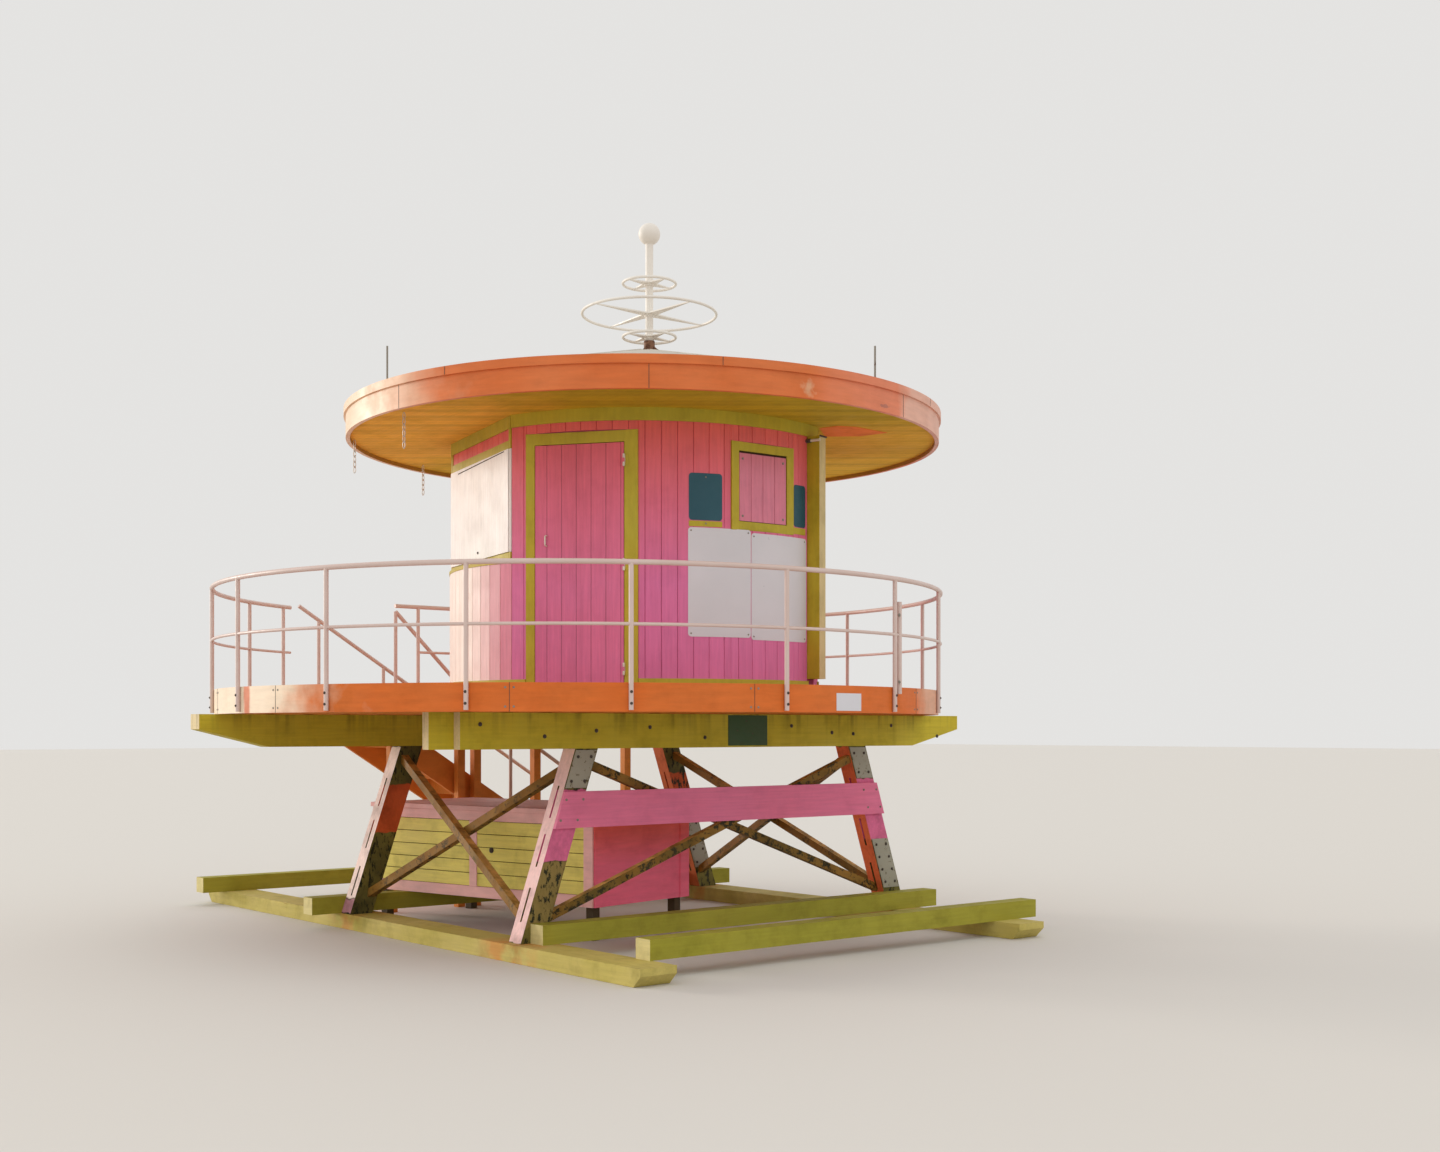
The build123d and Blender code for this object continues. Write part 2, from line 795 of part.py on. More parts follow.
frame_knuckles = []
door_knuckles = []
for height in hinge_heights:
    low = deck_top + height - hinge_length / 2
    plates = facet(door_angle, door_face + hinge_plate_thickness)
    with BuildPart() as hinge:
        add(knuckles(1, opening_right, (low, low + 2 * knuckle_step), hinge_pin_radius))
        add(
            panel(
                plates, opening_right, opening_right + hinge_plate_width, low, low + hinge_length, hinge_plate_thickness
            )
        )
        with BuildSketch(
            Plane(origin=facet(door_angle, door_face + hinge_stand).from_local_coords((hinge_x, low, 0)))
        ):
            Circle(hinge_pin_radius)
        extrude(amount=hinge_length)
    frame_knuckles.append(hinge.part)
    with BuildPart() as hinge:
        add(knuckles(-1, door_right, (low + knuckle_step,), hinge_pin_radius + seat_gap))
        add(panel(plates, door_right - hinge_plate_width, door_right, low, low + hinge_length, hinge_plate_thickness))
    door_knuckles.append(hinge.part)
save(group(frame_knuckles), "door_hinges")

# Door, hung on its right edge seen from outside, with its own knuckles fixed to its face
with BuildPart() as door:
    add(panel(facet(door_angle, door_face), door_left, door_right, door_bottom, deck_top + door_height, door_thickness))
    for knuckle in door_knuckles:
        add(knuckle)
save(door.part, "door")

# Pull handle on the door
handle_x = door_left + handle_inset
handle_low = deck_top + handle_height - handle_length / 2
door_skin = facet(door_angle, door_face)
low_end = (handle_x, handle_low, 0)
high_end = (handle_x, handle_low + handle_length, 0)
low_out = (handle_x, handle_low, handle_stand)
high_out = (handle_x, handle_low + handle_length, handle_stand)
with BuildPart() as door_handle:
    with BuildLine():
        grip = FilletPolyline(
            *(door_skin.from_local_coords(point) for point in (low_end, low_out, high_out, high_end)),
            radius=2.5 * handle_bar,
        )
    with BuildSketch(Plane(origin=grip @ 0, z_dir=grip % 0)):
        Circle(handle_bar)
    sweep()
save(door_handle.part, "door_handle")

# Small window: a flat frame in the round wall, closed by a boarded shutter
with BuildPart() as window_frame:
    with BuildSketch(facet(window_angle, window_face)):
        with Locations((0, (window_low + window_high) / 2)):
            Rectangle(2 * window_half, window_high - window_low)
            Rectangle(window_width, window_height, mode=Mode.SUBTRACT)
    extrude(amount=-window_frame_depth)
save(window_frame.part, "window_frame")
save(
    panel(
        facet(window_angle, window_face - window_shutter_thickness / 2),
        -window_width / 2,
        window_width / 2,
        window_low + window_frame_width,
        window_high - window_frame_width,
        window_shutter_thickness,
    ),
    "window_shutter",
)

# Roof: boarded soffit, two fascia bands that hang below it, and a low cone of roofing
fascia_bottom = roof_bottom - roof_lip
lower_band_top = fascia_bottom + roof_lower_band
upper_band_top = lower_band_top + roof_upper_band
roof_inner = roof_radius - roof_band_thickness
cone_top = upper_band_top + roof_rise
with BuildPart() as roof_soffit:
    with BuildSketch(Plane(origin=(hut_x, hut_y, roof_bottom))):
        Circle(roof_inner)
    extrude(amount=soffit_thickness)
save(roof_soffit.part, "roof_soffit")

with BuildPart() as roof_fascia:
    with BuildSketch(Plane(origin=(hut_x, hut_y, 0), x_dir=(1, 0, 0), z_dir=(0, -1, 0))):
        with Locations((roof_inner, fascia_bottom)):
            Rectangle(roof_band_thickness, upper_band_top - fascia_bottom, align=(Align.MIN, Align.MIN))
        with Locations((roof_radius, lower_band_top)):
            Rectangle(roof_band_step, roof_upper_band, align=(Align.MIN, Align.MIN))
    revolve(axis=Axis((hut_x, hut_y, 0), (0, 0, 1)))
save(roof_fascia.part, "roof_fascia")

with BuildPart() as roof_top:
    with BuildSketch(Plane(origin=(hut_x, hut_y, 0), x_dir=(1, 0, 0), z_dir=(0, -1, 0))):
        Polygon(
            (0, cone_top),
            (roof_crown, cone_top),
            (roof_inner, upper_band_top),
            (roof_inner, upper_band_top - roof_skin),
            (roof_crown, cone_top - roof_skin),
            (0, cone_top - roof_skin),
            align=None,
        )
    revolve(axis=Axis((hut_x, hut_y, 0), (0, 0, 1)))
save(roof_top.part, "roof_top")

# Mast: a flanged foot, a pole and a ball in one turned outline
mast_axis = Axis((mast_place[0], mast_place[1], 0), (0, 0, 1))
mast_section = Plane(origin=(mast_place[0], mast_place[1], 0), x_dir=(1, 0, 0), z_dir=(0, -1, 0))
ball_middle = cone_top + mast_height
ball_joint = sqrt(ball_radius**2 - mast_radius**2)
with BuildPart() as mast:
    with BuildSketch(mast_section):
        with BuildLine():
            pole = Polyline(
                (0, ball_middle + ball_radius),
                (0, cone_top),
                (mast_foot_radius, cone_top),
                (mast_foot_radius, cone_top + mast_foot_height),
                (mast_radius, cone_top + mast_foot_height),
                (mast_radius, ball_middle - ball_joint),
            )
            ThreePointArc(pole @ 1, (ball_radius, ball_middle), pole @ 0)
        make_face()
    revolve(axis=mast_axis)
save(mast.part, "mast")

# Mast rings: each a bent tube carried by pointed flat fins that are widest at the pole
rings = []
for level, radius in ring_sizes:
    height = cone_top + level
    with BuildPart() as ring:
        with BuildSketch(mast_section):
            with Locations((radius - ring_tube, height)):
                Circle(ring_tube)
        revolve(axis=mast_axis)
        with BuildSketch(
            Plane(origin=(mast_place[0], mast_place[1], height - fin_thickness / 2)).rotated((0, 0, fin_turn))
        ):
            with PolarLocations(0, fin_count):
                Polygon((0, -fin_root / 2), (radius - ring_tube, -1), (radius - ring_tube, 1), (0, fin_root / 2), align=None)
            Circle(mast_radius + fin_thickness)
            Circle(mast_radius + seat_gap, mode=Mode.SUBTRACT)
        extrude(amount=fin_thickness)
    rings.append(ring.part)
save(group(rings), "mast_rings")

# Storage locker: an open box on feet, and its lid
locker_base = Plane(origin=(locker_x, locker_y, timber_top)).rotated((0, 0, locker_turn))
locker_ground = Plane(origin=(locker_x, locker_y, 0)).rotated((0, 0, locker_turn))
foot_x = (locker_foot_inset, locker_width - locker_foot_inset)
foot_y = (locker_foot_inset, locker_length - locker_foot_inset)
with BuildPart() as locker_body:
    with BuildSketch(locker_base):
        Rectangle(locker_width, locker_length, align=(Align.MIN, Align.MIN))
    extrude(amount=locker_height)
    with BuildSketch(locker_base.offset(locker_wall)):
        with Locations((locker_wall, locker_wall)):
            Rectangle(locker_width - 2 * locker_wall, locker_length - 2 * locker_wall, align=(Align.MIN, Align.MIN))
    extrude(amount=locker_height, mode=Mode.SUBTRACT)
    with BuildSketch(locker_ground):
        with Locations(*((x, y) for x in foot_x for y in foot_y)):
            Rectangle(locker_foot, locker_foot)
    extrude(amount=timber_top)
save(locker_body.part, "locker_body")

with BuildPart() as locker_lid:
    with BuildSketch(locker_base.offset(locker_height)):
        with Locations((-lid_overhang, -lid_overhang)):
            Rectangle(
                locker_width + 2 * lid_overhang, locker_length + 2 * lid_overhang, align=(Align.MIN, Align.MIN)
            )
    extrude(amount=lid_thickness)
save(locker_lid.part, "locker_lid")
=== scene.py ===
"""Looks of a round lifeguard tower: painted boards, pipe rail, weathered legs and a pale studio.

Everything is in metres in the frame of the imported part: +Z up, +Y along the ground runners.
"""
import math

import bmesh
import bpy
import numpy as np
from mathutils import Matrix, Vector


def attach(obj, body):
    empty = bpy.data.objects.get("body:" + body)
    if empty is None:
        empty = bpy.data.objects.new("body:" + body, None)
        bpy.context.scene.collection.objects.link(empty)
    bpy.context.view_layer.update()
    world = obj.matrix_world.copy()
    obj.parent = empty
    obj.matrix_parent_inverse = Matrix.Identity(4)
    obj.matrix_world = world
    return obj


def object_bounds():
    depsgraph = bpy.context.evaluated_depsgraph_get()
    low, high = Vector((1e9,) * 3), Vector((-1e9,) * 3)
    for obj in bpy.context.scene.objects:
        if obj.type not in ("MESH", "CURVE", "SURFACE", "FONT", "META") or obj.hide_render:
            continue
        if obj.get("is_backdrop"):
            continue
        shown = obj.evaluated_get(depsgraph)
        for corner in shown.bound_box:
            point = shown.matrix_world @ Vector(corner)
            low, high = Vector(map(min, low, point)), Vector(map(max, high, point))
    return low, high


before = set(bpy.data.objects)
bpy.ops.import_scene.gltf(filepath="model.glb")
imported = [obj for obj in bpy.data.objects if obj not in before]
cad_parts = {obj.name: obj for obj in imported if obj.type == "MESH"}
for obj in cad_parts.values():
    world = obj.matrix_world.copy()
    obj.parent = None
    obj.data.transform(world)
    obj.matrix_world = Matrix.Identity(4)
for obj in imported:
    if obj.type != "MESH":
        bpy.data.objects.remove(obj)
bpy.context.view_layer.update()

# Places taken over from the part
HUT = np.array((0.35, -1.08))
WALL = 1.93
HALF_FACET = 26.4
FLAT = WALL * math.cos(math.radians(HALF_FACET))
FLAT_HALF = WALL * math.sin(math.radians(HALF_FACET))
DECK = np.array((0.0, -0.5))
DECK_EDGE = 3.6
DECK_TOP = 2.375
BEAM_TOP = 2.14
SOFFIT = 4.860
FRIEZE_LOW = 4.745
LOW_WALL_TOP = 3.515
ROOF_EDGE = 2.94
ROOF_TRIM = 2.96
ROOF_FOOT = 5.783
MAST = np.array((0.385, -1.11))
DOOR_TURN = -144.9
WINDOW_TURN = -92.9
BAY_TURNS = (9.2, 62.0, 114.8, 167.6)
FLAT_TURN = -43.6
NEAR_LEG_Y = -2.24
FAR_LEG_Y = 0.74
LEGS_X, LEGS_Y = 0.40, -0.75
LEG_DEEP = 0.0925
HINGE = (-0.96756, -2.49918)
HINGE_LEVELS = (2.535, 3.465, 4.395)

# Sizes of what is added: thickness of boards and trim, joints, bevels, levels in the bays, the signs' face
SKIN = 0.010
TRIM = 0.018
GAP = 0.003
BEVEL = 0.003
BAY_LOW, BAY_HIGH = 3.619, 4.561
BAY_SILL, BAY_HEAD = 3.547, 4.563
SIGN_LIFT = 0.0125
SIGN_THICK = 0.0025

TOWARDS_FRONT = (0.0, -1.0, 0.0)


# ---------------------------------------------------------------- meshes
def placed(name, data):
    """A new object of the scene, at the origin."""
    thing = bpy.data.objects.new(name, data)
    bpy.context.scene.collection.objects.link(thing)
    return thing


def finished(name, points, faces, material, tone, round_below, body="tower"):
    """A closed mesh from its points and faces, with outward normals, riding on a body."""
    mesh = bpy.data.meshes.new(name)
    mesh.from_pydata(points.reshape(-1, 3).tolist(), [], faces)
    shape = bmesh.new()
    shape.from_mesh(mesh)
    bmesh.ops.recalc_face_normals(shape, faces=shape.faces)
    shape.to_mesh(mesh)
    shape.free()
    spread = mesh.attributes.new("tone", "FLOAT", "POINT")
    spread.data.foreach_set("value", np.asarray(tone, np.float32).ravel())
    mesh.shade_smooth()
    mesh.set_sharp_from_angle(angle=math.radians(round_below))
    piece = placed(name, mesh)
    mesh.materials.append(material)
    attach(piece, body)
    return piece


def loft(name, rings, material, closed=False, round_below=20.0, seed=3, tones=None):
    """Copies x sections x points x 3: each section's points join the next section's, quad by quad.

    An open loft ends in two flat caps; a closed one joins its last section to its first.
    Every copy has one tone from 0 to 1 for its material, drawn at random where none is given.
    """
    copies, sections, points = rings.shape[:3]
    index = np.arange(copies * sections * points).reshape(copies, sections, points)
    beside = np.roll(index, -1, axis=2)
    ahead = np.roll(index, -1, axis=1)
    ahead_beside = np.roll(beside, -1, axis=1)
    last = sections if closed else sections - 1
    sides = np.stack((index[:, :last], beside[:, :last], ahead_beside[:, :last], ahead[:, :last]), axis=-1)
    faces = sides.reshape(-1, 4).tolist()
    if not closed:
        faces += index[:, 0, ::-1].tolist() + index[:, -1].tolist()
    if tones is None:
        tones = np.random.default_rng(seed).random(copies)
    tone = np.broadcast_to(np.asarray(tones)[:, None, None], (copies, sections, points))
    return finished(name, rings, faces, material, tone, round_below)


def level_way(turn):
    """The level direction at an angle in radians: its cosine, its sine and no height."""
    return np.stack((np.cos(turn), np.sin(turn), 0 * turn), axis=-1)


def round_wall(radius=WALL, centre=HUT):
    """Across is an angle in radians about the centre, out a distance from the radius, up a height."""

    def place(across, out, up):
        across, out, up = np.broadcast_arrays(across, out, up)
        reach = radius + out
        return np.stack((centre[0] + reach * np.cos(across), centre[1] + reach * np.sin(across), up), axis=-1)

    return place


deck_place, roof_place, mast_place = (round_wall(0.0, centre) for centre in (DECK, HUT, MAST))


def flat_wall(turn, distance):
    """Across runs along the wall, out along its normal at that turn about the hut, up is a height."""
    side, front = math.sin(math.radians(turn)), math.cos(math.radians(turn))

    def place(across, out, up):
        across, out, up = np.broadcast_arrays(across, out, up)
        reach = distance + out
        return np.stack(
            (HUT[0] + reach * front - across * side, HUT[1] + reach * side + across * front, up), axis=-1
        )

    return place


def boards(
    name, place, spans, thickness, chamfer, material, across_chamfer=None, seed=3, tones=None, lying=False
):
    """Spans are rows of across from, to, up from, to. Each board is its chamfered section carried upwards.

    The section has six points: two at the back, and four in front where both long edges are bevelled.
    Lying boards have their section in up and out, carried across.
    """
    left, right, low, high = np.asarray(spans, float).T
    if lying:
        left, right, low, high = low, high, left, right
    edge = chamfer if across_chamfer is None else across_chamfer
    section = np.stack((left, left, left + edge, right - edge, right, right), axis=1)[:, None, :]
    out = np.array((0.0, thickness - chamfer, thickness, thickness, thickness - chamfer, 0.0))
    carried = np.stack((low, high), axis=1)[:, :, None]
    across, up = (carried, section) if lying else (section, carried)
    return loft(name, place(across, out, up), material, seed=seed, tones=tones)


def board_spans(start, end, count, gap, low, high, holes=()):
    """Boards of one width from start to end, cut round holes given as across from, to, up from, to."""
    edges = np.linspace(start, end, count + 1)
    spans = []
    for left, right in zip(edges[:-1] + gap / 2, edges[1:] - gap / 2):
        cuts = sorted({left, right, *(x for hole in holes for x in hole[:2] if left < x < right)})
        for a, b in zip(cuts[:-1], cuts[1:]):
            met = [hole for hole in holes if hole[0] < (a + b) / 2 < hole[1]]
            if b - a < 3 * gap:
                continue
            bottom = low
            for hole in met:
                if hole[2] > bottom + 0.01:
                    spans.append((a, b, bottom, hole[2]))
                bottom = hole[3]
            if high > bottom + 0.01:
                spans.append((a, b, bottom, high))
    return spans


def round_turns(count):
    """Even angles once round, in radians."""
    return np.linspace(0, 2 * math.pi, count, endpoint=False)


def rings_about(way, sides):
    """Points of a circle of radius 1 square to each way: side by cosine and rise by sine."""
    helper = np.where(np.abs(way[..., 2:3]) > 0.9, (1.0, 0.0, 0.0), (0.0, 0.0, 1.0))
    side = np.cross(way, helper)
    side /= np.linalg.norm(side, axis=-1, keepdims=True)
    rise = np.cross(side, way)
    turn = round_turns(sides)[:, None]
    return np.cos(turn) * side[..., None, :] + np.sin(turn) * rise[..., None, :]


def tube(name, path, radius, material, sides=10, closed=False):
    """A circle carried along each path: copies x stations x 3, square to the way at each station."""
    path = np.asarray(path, float)
    way = np.gradient(path, axis=1)
    if closed:
        way = np.roll(path, -1, axis=1) - np.roll(path, 1, axis=1)
    way /= np.linalg.norm(way, axis=-1, keepdims=True)
    return loft(name, path[:, :, None, :] + radius * rings_about(way, sides), material, closed, 50.0)


def bolt_heads(name, centres, outwards, radius, height, material):
    """A washer under a domed head at each centre: rings of given radius and lift, turned about outwards."""
    centres = np.asarray(centres, float)
    outwards = np.broadcast_to(np.asarray(outwards, float), centres.shape)
    outwards = outwards / np.linalg.norm(outwards, axis=1, keepdims=True)
    reach = radius * np.array((1.0, 1.0, 0.62, 0.58, 0.40, 0.12))
    lift = height * np.array((-0.1, 0.25, 0.25, 0.7, 0.92, 1.0))
    ring = rings_about(outwards, 10)[:, None]
    rings = centres[:, None, None, :] + reach[:, None, None] * ring + lift[:, None, None] * outwards[:, None, None, :]
    return loft(name, rings, material, round_below=40.0)


def plates(name, corners, outwards, thickness, material):
    """Flat plates: copies x 4 corners x 3, lifted by thickness along outwards, with a small bevel in front."""
    corners = np.asarray(corners, float)
    outwards = np.broadcast_to(np.asarray(outwards, float)[..., None, :], corners.shape)
    inwards = corners.mean(axis=1, keepdims=True) - corners
    inset = corners + inwards * 0.0015 / np.linalg.norm(inwards, axis=-1, keepdims=True)
    rings = np.stack(
        (corners - 0.002 * outwards, corners + (thickness - 0.001) * outwards, inset + thickness * outwards), axis=1
    )
    return loft(name, rings, material, round_below=25.0)


# ---------------------------------------------------------------- materials
def linear(code):
    """sRGB hex to linear red, green, blue and alpha."""
    parts = [int(code[i : i + 2], 16) / 255 for i in (1, 3, 5)]
    return tuple(c / 12.92 if c <= 0.04045 else ((c + 0.055) / 1.055) ** 2.4 for c in parts) + (1.0,)


# What a Mix node needs to mix colours
COLOURS = {"out": 2, "data_type": "RGBA"}


def add(tree, kind, *values, out=0, **settings):
    """One node. Settings are its own properties; values fill its sockets, in order or by a dict of slots.

    A socket is linked, a number, a way or an sRGB hex is set, and None leaves the slot alone.
    """
    node = tree.nodes.new("ShaderNode" + kind)
    for key, value in settings.items():
        setattr(node, key, value)
    slots = values[0] if values and isinstance(values[0], dict) else dict(enumerate(values))
    for slot, value in slots.items():
        if isinstance(value, bpy.types.NodeSocket):
            tree.links.new(value, node.inputs[slot])
        elif value is not None:
            node.inputs[slot].default_value = linear(value) if isinstance(value, str) else value
    return node.outputs[out]


def blank(name, roughness):
    """An empty material with one shader, whose steady numbers sit on the shader itself."""
    material = bpy.data.materials.new(name)
    material.use_nodes = True
    tree = material.node_tree
    shader = tree.nodes["Principled BSDF"]
    shader.inputs["Roughness"].default_value = roughness
    return material, tree, shader


def between(tree, value, low, high, soft):
    """1 where a value lies between low and high, falling to 0 over a soft edge inside them."""
    rise = add(tree, "MapRange", value, low, low + soft, 0.0, 1.0)
    fall = add(tree, "MapRange", value, high - soft, high, 1.0, 0.0)
    return add(tree, "Math", rise, fall, operation="MULTIPLY")


def painted_timber(
    name, paint, faded, bare, grain, roughness=0.55, fade=0.6, flake=0.66, dirt=0.25, tone=0.0,
    lines=None, zones=(), over=(), drips=None, top=None, painted_sunlight=None,
):
    """Alkyd paint brushed on sawn pine: satin, streaked along the grain, faded in clouds, flaking in chips.

    Grain is the pattern's scale along X, Y and Z in cycles per metre: low along the fibres, high across
    them, where fibre bundles of 20 to 40 mm show through. Lines are (way, offset, width in metres, spread
    of the boards' tones) of sunk joints between boards. Zones are (mask, colour) pairs that repaint parts
    of it under the chips, and over the same above them. Drips, (level, depth), darken it in runs below
    that level, top is (low, high, colour) of a slow change with height, and the last colour is painted
    sunlight, a cream that the tone attribute fades it to. Weathered paint is chalky, so it reflects less
    than fresh paint.
    """
    material, tree, shader = blank(name, roughness)
    shader.inputs["Specular IOR Level"].default_value = 0.3
    spot = add(tree, "TexCoord", out="Object")
    height = add(tree, "SeparateXYZ", spot, out="Z")
    drawn = add(tree, "Mapping", {"Vector": spot, "Scale": grain})
    fibres = add(tree, "TexNoise", {"Vector": drawn, "Scale": 1.0, "Detail": 6.0, "Roughness": 0.6})
    clouds = add(tree, "TexNoise", {"Vector": spot, "Scale": 1.3, "Detail": 5.0, "Roughness": 0.55})
    chips = add(tree, "TexNoise", {"Vector": drawn, "Scale": 0.55, "Detail": 9.0, "Roughness": 0.72})
    grime = add(tree, "TexNoise", {"Vector": spot, "Scale": 3.5, "Detail": 8.0, "Roughness": 0.65})
    colour = add(
        tree, "Mix", {0: add(tree, "MapRange", clouds, 0.35, 0.68, 0.0, fade), 6: paint, 7: faded}, **COLOURS
    )
    if top:
        high = add(tree, "MapRange", height, top[0], top[1], 0.0, 1.0)
        colour = add(tree, "Mix", {0: high, 6: colour, 7: top[2]}, **COLOURS)
    # Painted sunlight: the tone attribute fades the colour towards a cream
    if painted_sunlight:
        own = add(tree, "Attribute", attribute_name="tone", out="Fac")
        colour = add(tree, "Mix", {0: own, 6: colour, 7: painted_sunlight}, **COLOURS)
    for mask, shade in zones:
        colour = add(tree, "Mix", {0: mask(tree, spot), 6: colour, 7: shade}, **COLOURS)
    flaked = add(tree, "MapRange", chips, flake, flake + 0.03, 0.0, 1.0)
    colour = add(tree, "Mix", {0: flaked, 6: colour, 7: bare}, **COLOURS)
    for mask, shade in over:
        colour = add(tree, "Mix", {0: mask(tree, spot), 6: colour, 7: shade}, **COLOURS)
    shade = add(tree, "MapRange", fibres, 0.25, 0.75, 0.86, 1.05)
    if tone:
        own = add(tree, "Attribute", attribute_name="tone", out="Fac")
        own = add(tree, "MapRange", own, 0.0, 1.0, 1.0 - tone, 1.0 + tone)
        shade = add(tree, "Math", shade, own, operation="MULTIPLY")
    relief = add(tree, "MapRange", fibres, 0.2, 0.8, 0.0, 0.5)
    sunk = add(tree, "Math", flaked, 0.3, operation="MULTIPLY")
    relief = add(tree, "Math", relief, sunk, operation="SUBTRACT")
    if lines:
        way, offset, width, spread = lines
        place = add(tree, "VectorMath", spot, way, operation="DOT_PRODUCT", out="Value")
        place = add(tree, "Math", place, offset, operation="ADD")
        gap = add(tree, "Math", place, width / 2, operation="PINGPONG")
        shade = add(tree, "Math", shade, add(tree, "MapRange", gap, 0.001, 0.005, 0.55, 1.0), operation="MULTIPLY")
        relief = add(tree, "Math", relief, add(tree, "MapRange", gap, 0.001, 0.006, -1.5, 0.0), operation="ADD")
        number = add(tree, "Math", add(tree, "Math", place, width, operation="DIVIDE"), 0.5, operation="ADD")
        number = add(tree, "Math", number, operation="FLOOR")
        own = add(tree, "TexWhiteNoise", {"W": number}, noise_dimensions="1D")
        own = add(tree, "MapRange", own, 0.0, 1.0, 1.0 - spread, 1.0 + spread)
        shade = add(tree, "Math", shade, own, operation="MULTIPLY")
    if drips:
        level, depth = drips
        upright = add(tree, "Mapping", {"Vector": spot, "Scale": (14, 14, 0.7)})
        runs = add(tree, "TexNoise", {"Vector": upright, "Scale": 1.0, "Detail": 5.0})
        runs = add(tree, "MapRange", runs, 0.50, 0.70, 0.0, 0.45)
        near_top = add(tree, "MapRange", height, level - depth, level, 0.15, 1.0)
        runs = add(tree, "Math", runs, near_top, operation="MULTIPLY")
        shade = add(tree, "Math", shade, add(tree, "Math", 1.0, runs, operation="SUBTRACT"), operation="MULTIPLY")
    shade = add(tree, "Math", shade, add(tree, "MapRange", grime, 0.48, 0.75, 1.0, 1.0 - dirt), operation="MULTIPLY")
    shade = add(tree, "CombineColor", shade, shade, shade)
    colour = add(tree, "Mix", {0: 1.0, 6: colour, 7: shade}, blend_type="MULTIPLY", **COLOURS)
    tree.links.new(colour, shader.inputs["Base Color"])
    bump = add(tree, "Bump", {"Strength": 0.5, "Distance": 0.004, "Height": relief})
    tree.links.new(bump, shader.inputs["Normal"])
    rough = add(tree, "MapRange", grime, 0.3, 0.7, roughness - 0.08, roughness + 0.15)
    tree.links.new(rough, shader.inputs["Roughness"])
    return material


def enamelled_steel(name, paint, rust, roughness=0.35, worn=0.70, low_rust=None):
    """Enamel brushed on galvanised steel: smooth, glossier than the timber, with rust spots from 5 to 30 mm.

    Below low_rust, a height in metres, the spots grow together.
    """
    material, tree, shader = blank(name, roughness)
    spot = add(tree, "TexCoord", out="Object")
    spots = add(tree, "TexNoise", {"Vector": spot, "Scale": 18.0, "Detail": 8.0, "Roughness": 0.7})
    clouds = add(tree, "TexNoise", {"Vector": spot, "Scale": 2.2, "Detail": 4.0})
    colour = add(
        tree, "Mix", {0: add(tree, "MapRange", clouds, 0.35, 0.7, 0.0, 0.16), 6: paint, 7: rust}, **COLOURS
    )
    rusted = add(tree, "MapRange", spots, worn, worn + 0.05, 0.0, 1.0)
    if low_rust:
        height = add(tree, "SeparateXYZ", spot, out="Z")
        more = add(tree, "MapRange", height, low_rust - 0.08, low_rust + 0.05, 0.35, 0.0)
        rusted = add(tree, "MapRange", add(tree, "Math", spots, more, operation="ADD"), worn, worn + 0.05, 0.0, 1.0)
    colour = add(tree, "Mix", {0: rusted, 6: colour, 7: rust}, **COLOURS)
    tree.links.new(colour, shader.inputs["Base Color"])
    bump = add(tree, "Bump", {"Strength": 0.25, "Distance": 0.001, "Height": spots})
    tree.links.new(bump, shader.inputs["Normal"])
    tree.links.new(add(tree, "MapRange", spots, 0.4, 0.8, roughness, roughness + 0.3), shader.inputs["Roughness"])
    return material


# Masks: each answers 1 inside its part of a piece and 0 outside it
def leg_zone(low, high, side, near, narrow=False):
    """Heights from low to high on one leg: side is -1 or 1, near tells the row, narrow the face."""

    def mask(tree, spot):
        wobble = add(tree, "TexNoise", {"Vector": spot, "Scale": 9.0, "Detail": 4.0})
        parts = [add(tree, "SeparateXYZ", spot, out=axis) for axis in ("X", "Y", "Z")]
        level = add(tree, "Math", parts[2], add(tree, "MapRange", wobble, 0.3, 0.7, -0.015, 0.015), operation="ADD")
        inside = between(tree, level, low, high, 0.01)
        kept = add(tree, "Math", parts[1], LEGS_Y, operation="LESS_THAN" if near else "GREATER_THAN")
        inside = add(tree, "Math", inside, kept, operation="MULTIPLY")
        kept = add(tree, "Math", parts[0], LEGS_X, operation="LESS_THAN" if side < 0 else "GREATER_THAN")
        inside = add(tree, "Math", inside, kept, operation="MULTIPLY")
        facing = add(tree, "SeparateXYZ", add(tree, "TexCoord", out="Normal"), out="X")
        facing = add(tree, "Math", facing, -0.6, operation="LESS_THAN" if narrow else "GREATER_THAN")
        return add(tree, "Math", inside, facing, operation="MULTIPLY")

    return mask


def facing_zone(axis, limit, patchy=0.0):
    """Faces turned past a limit on an axis, downwards for a negative limit, such as board ends lightened with painted
    sunlight.
    """

    def mask(tree, spot):
        facing = add(tree, "SeparateXYZ", add(tree, "TexCoord", out="Normal"), out=axis)
        facing = add(tree, "Math", facing, limit, operation="LESS_THAN" if limit < 0 else "GREATER_THAN")
        if not patchy:
            return facing
        noise = add(tree, "TexNoise", {"Vector": spot, "Scale": 7.0, "Detail": 6.0})
        patches = add(tree, "MapRange", noise, 0.42, 0.58, 1.0 - patchy, 1.0)
        return add(tree, "Math", facing, patches, operation="MULTIPLY")

    return mask


def inward_zone(centre):
    """Upright faces that look towards an upright line, such as the inside of a round fascia."""

    def mask(tree, spot):
        outward = add(tree, "Mapping", {"Vector": spot, "Location": (-centre[0], -centre[1], 0.0)})
        outward = add(tree, "VectorMath", outward, (1.0, 1.0, 0.0), operation="MULTIPLY")
        outward = add(tree, "VectorMath", outward, operation="NORMALIZE")
        facing = add(tree, "TexCoord", out="Normal")
        facing = add(tree, "VectorMath", facing, outward, operation="DOT_PRODUCT", out="Value")
        return add(tree, "Math", facing, -0.5, operation="LESS_THAN")

    return mask


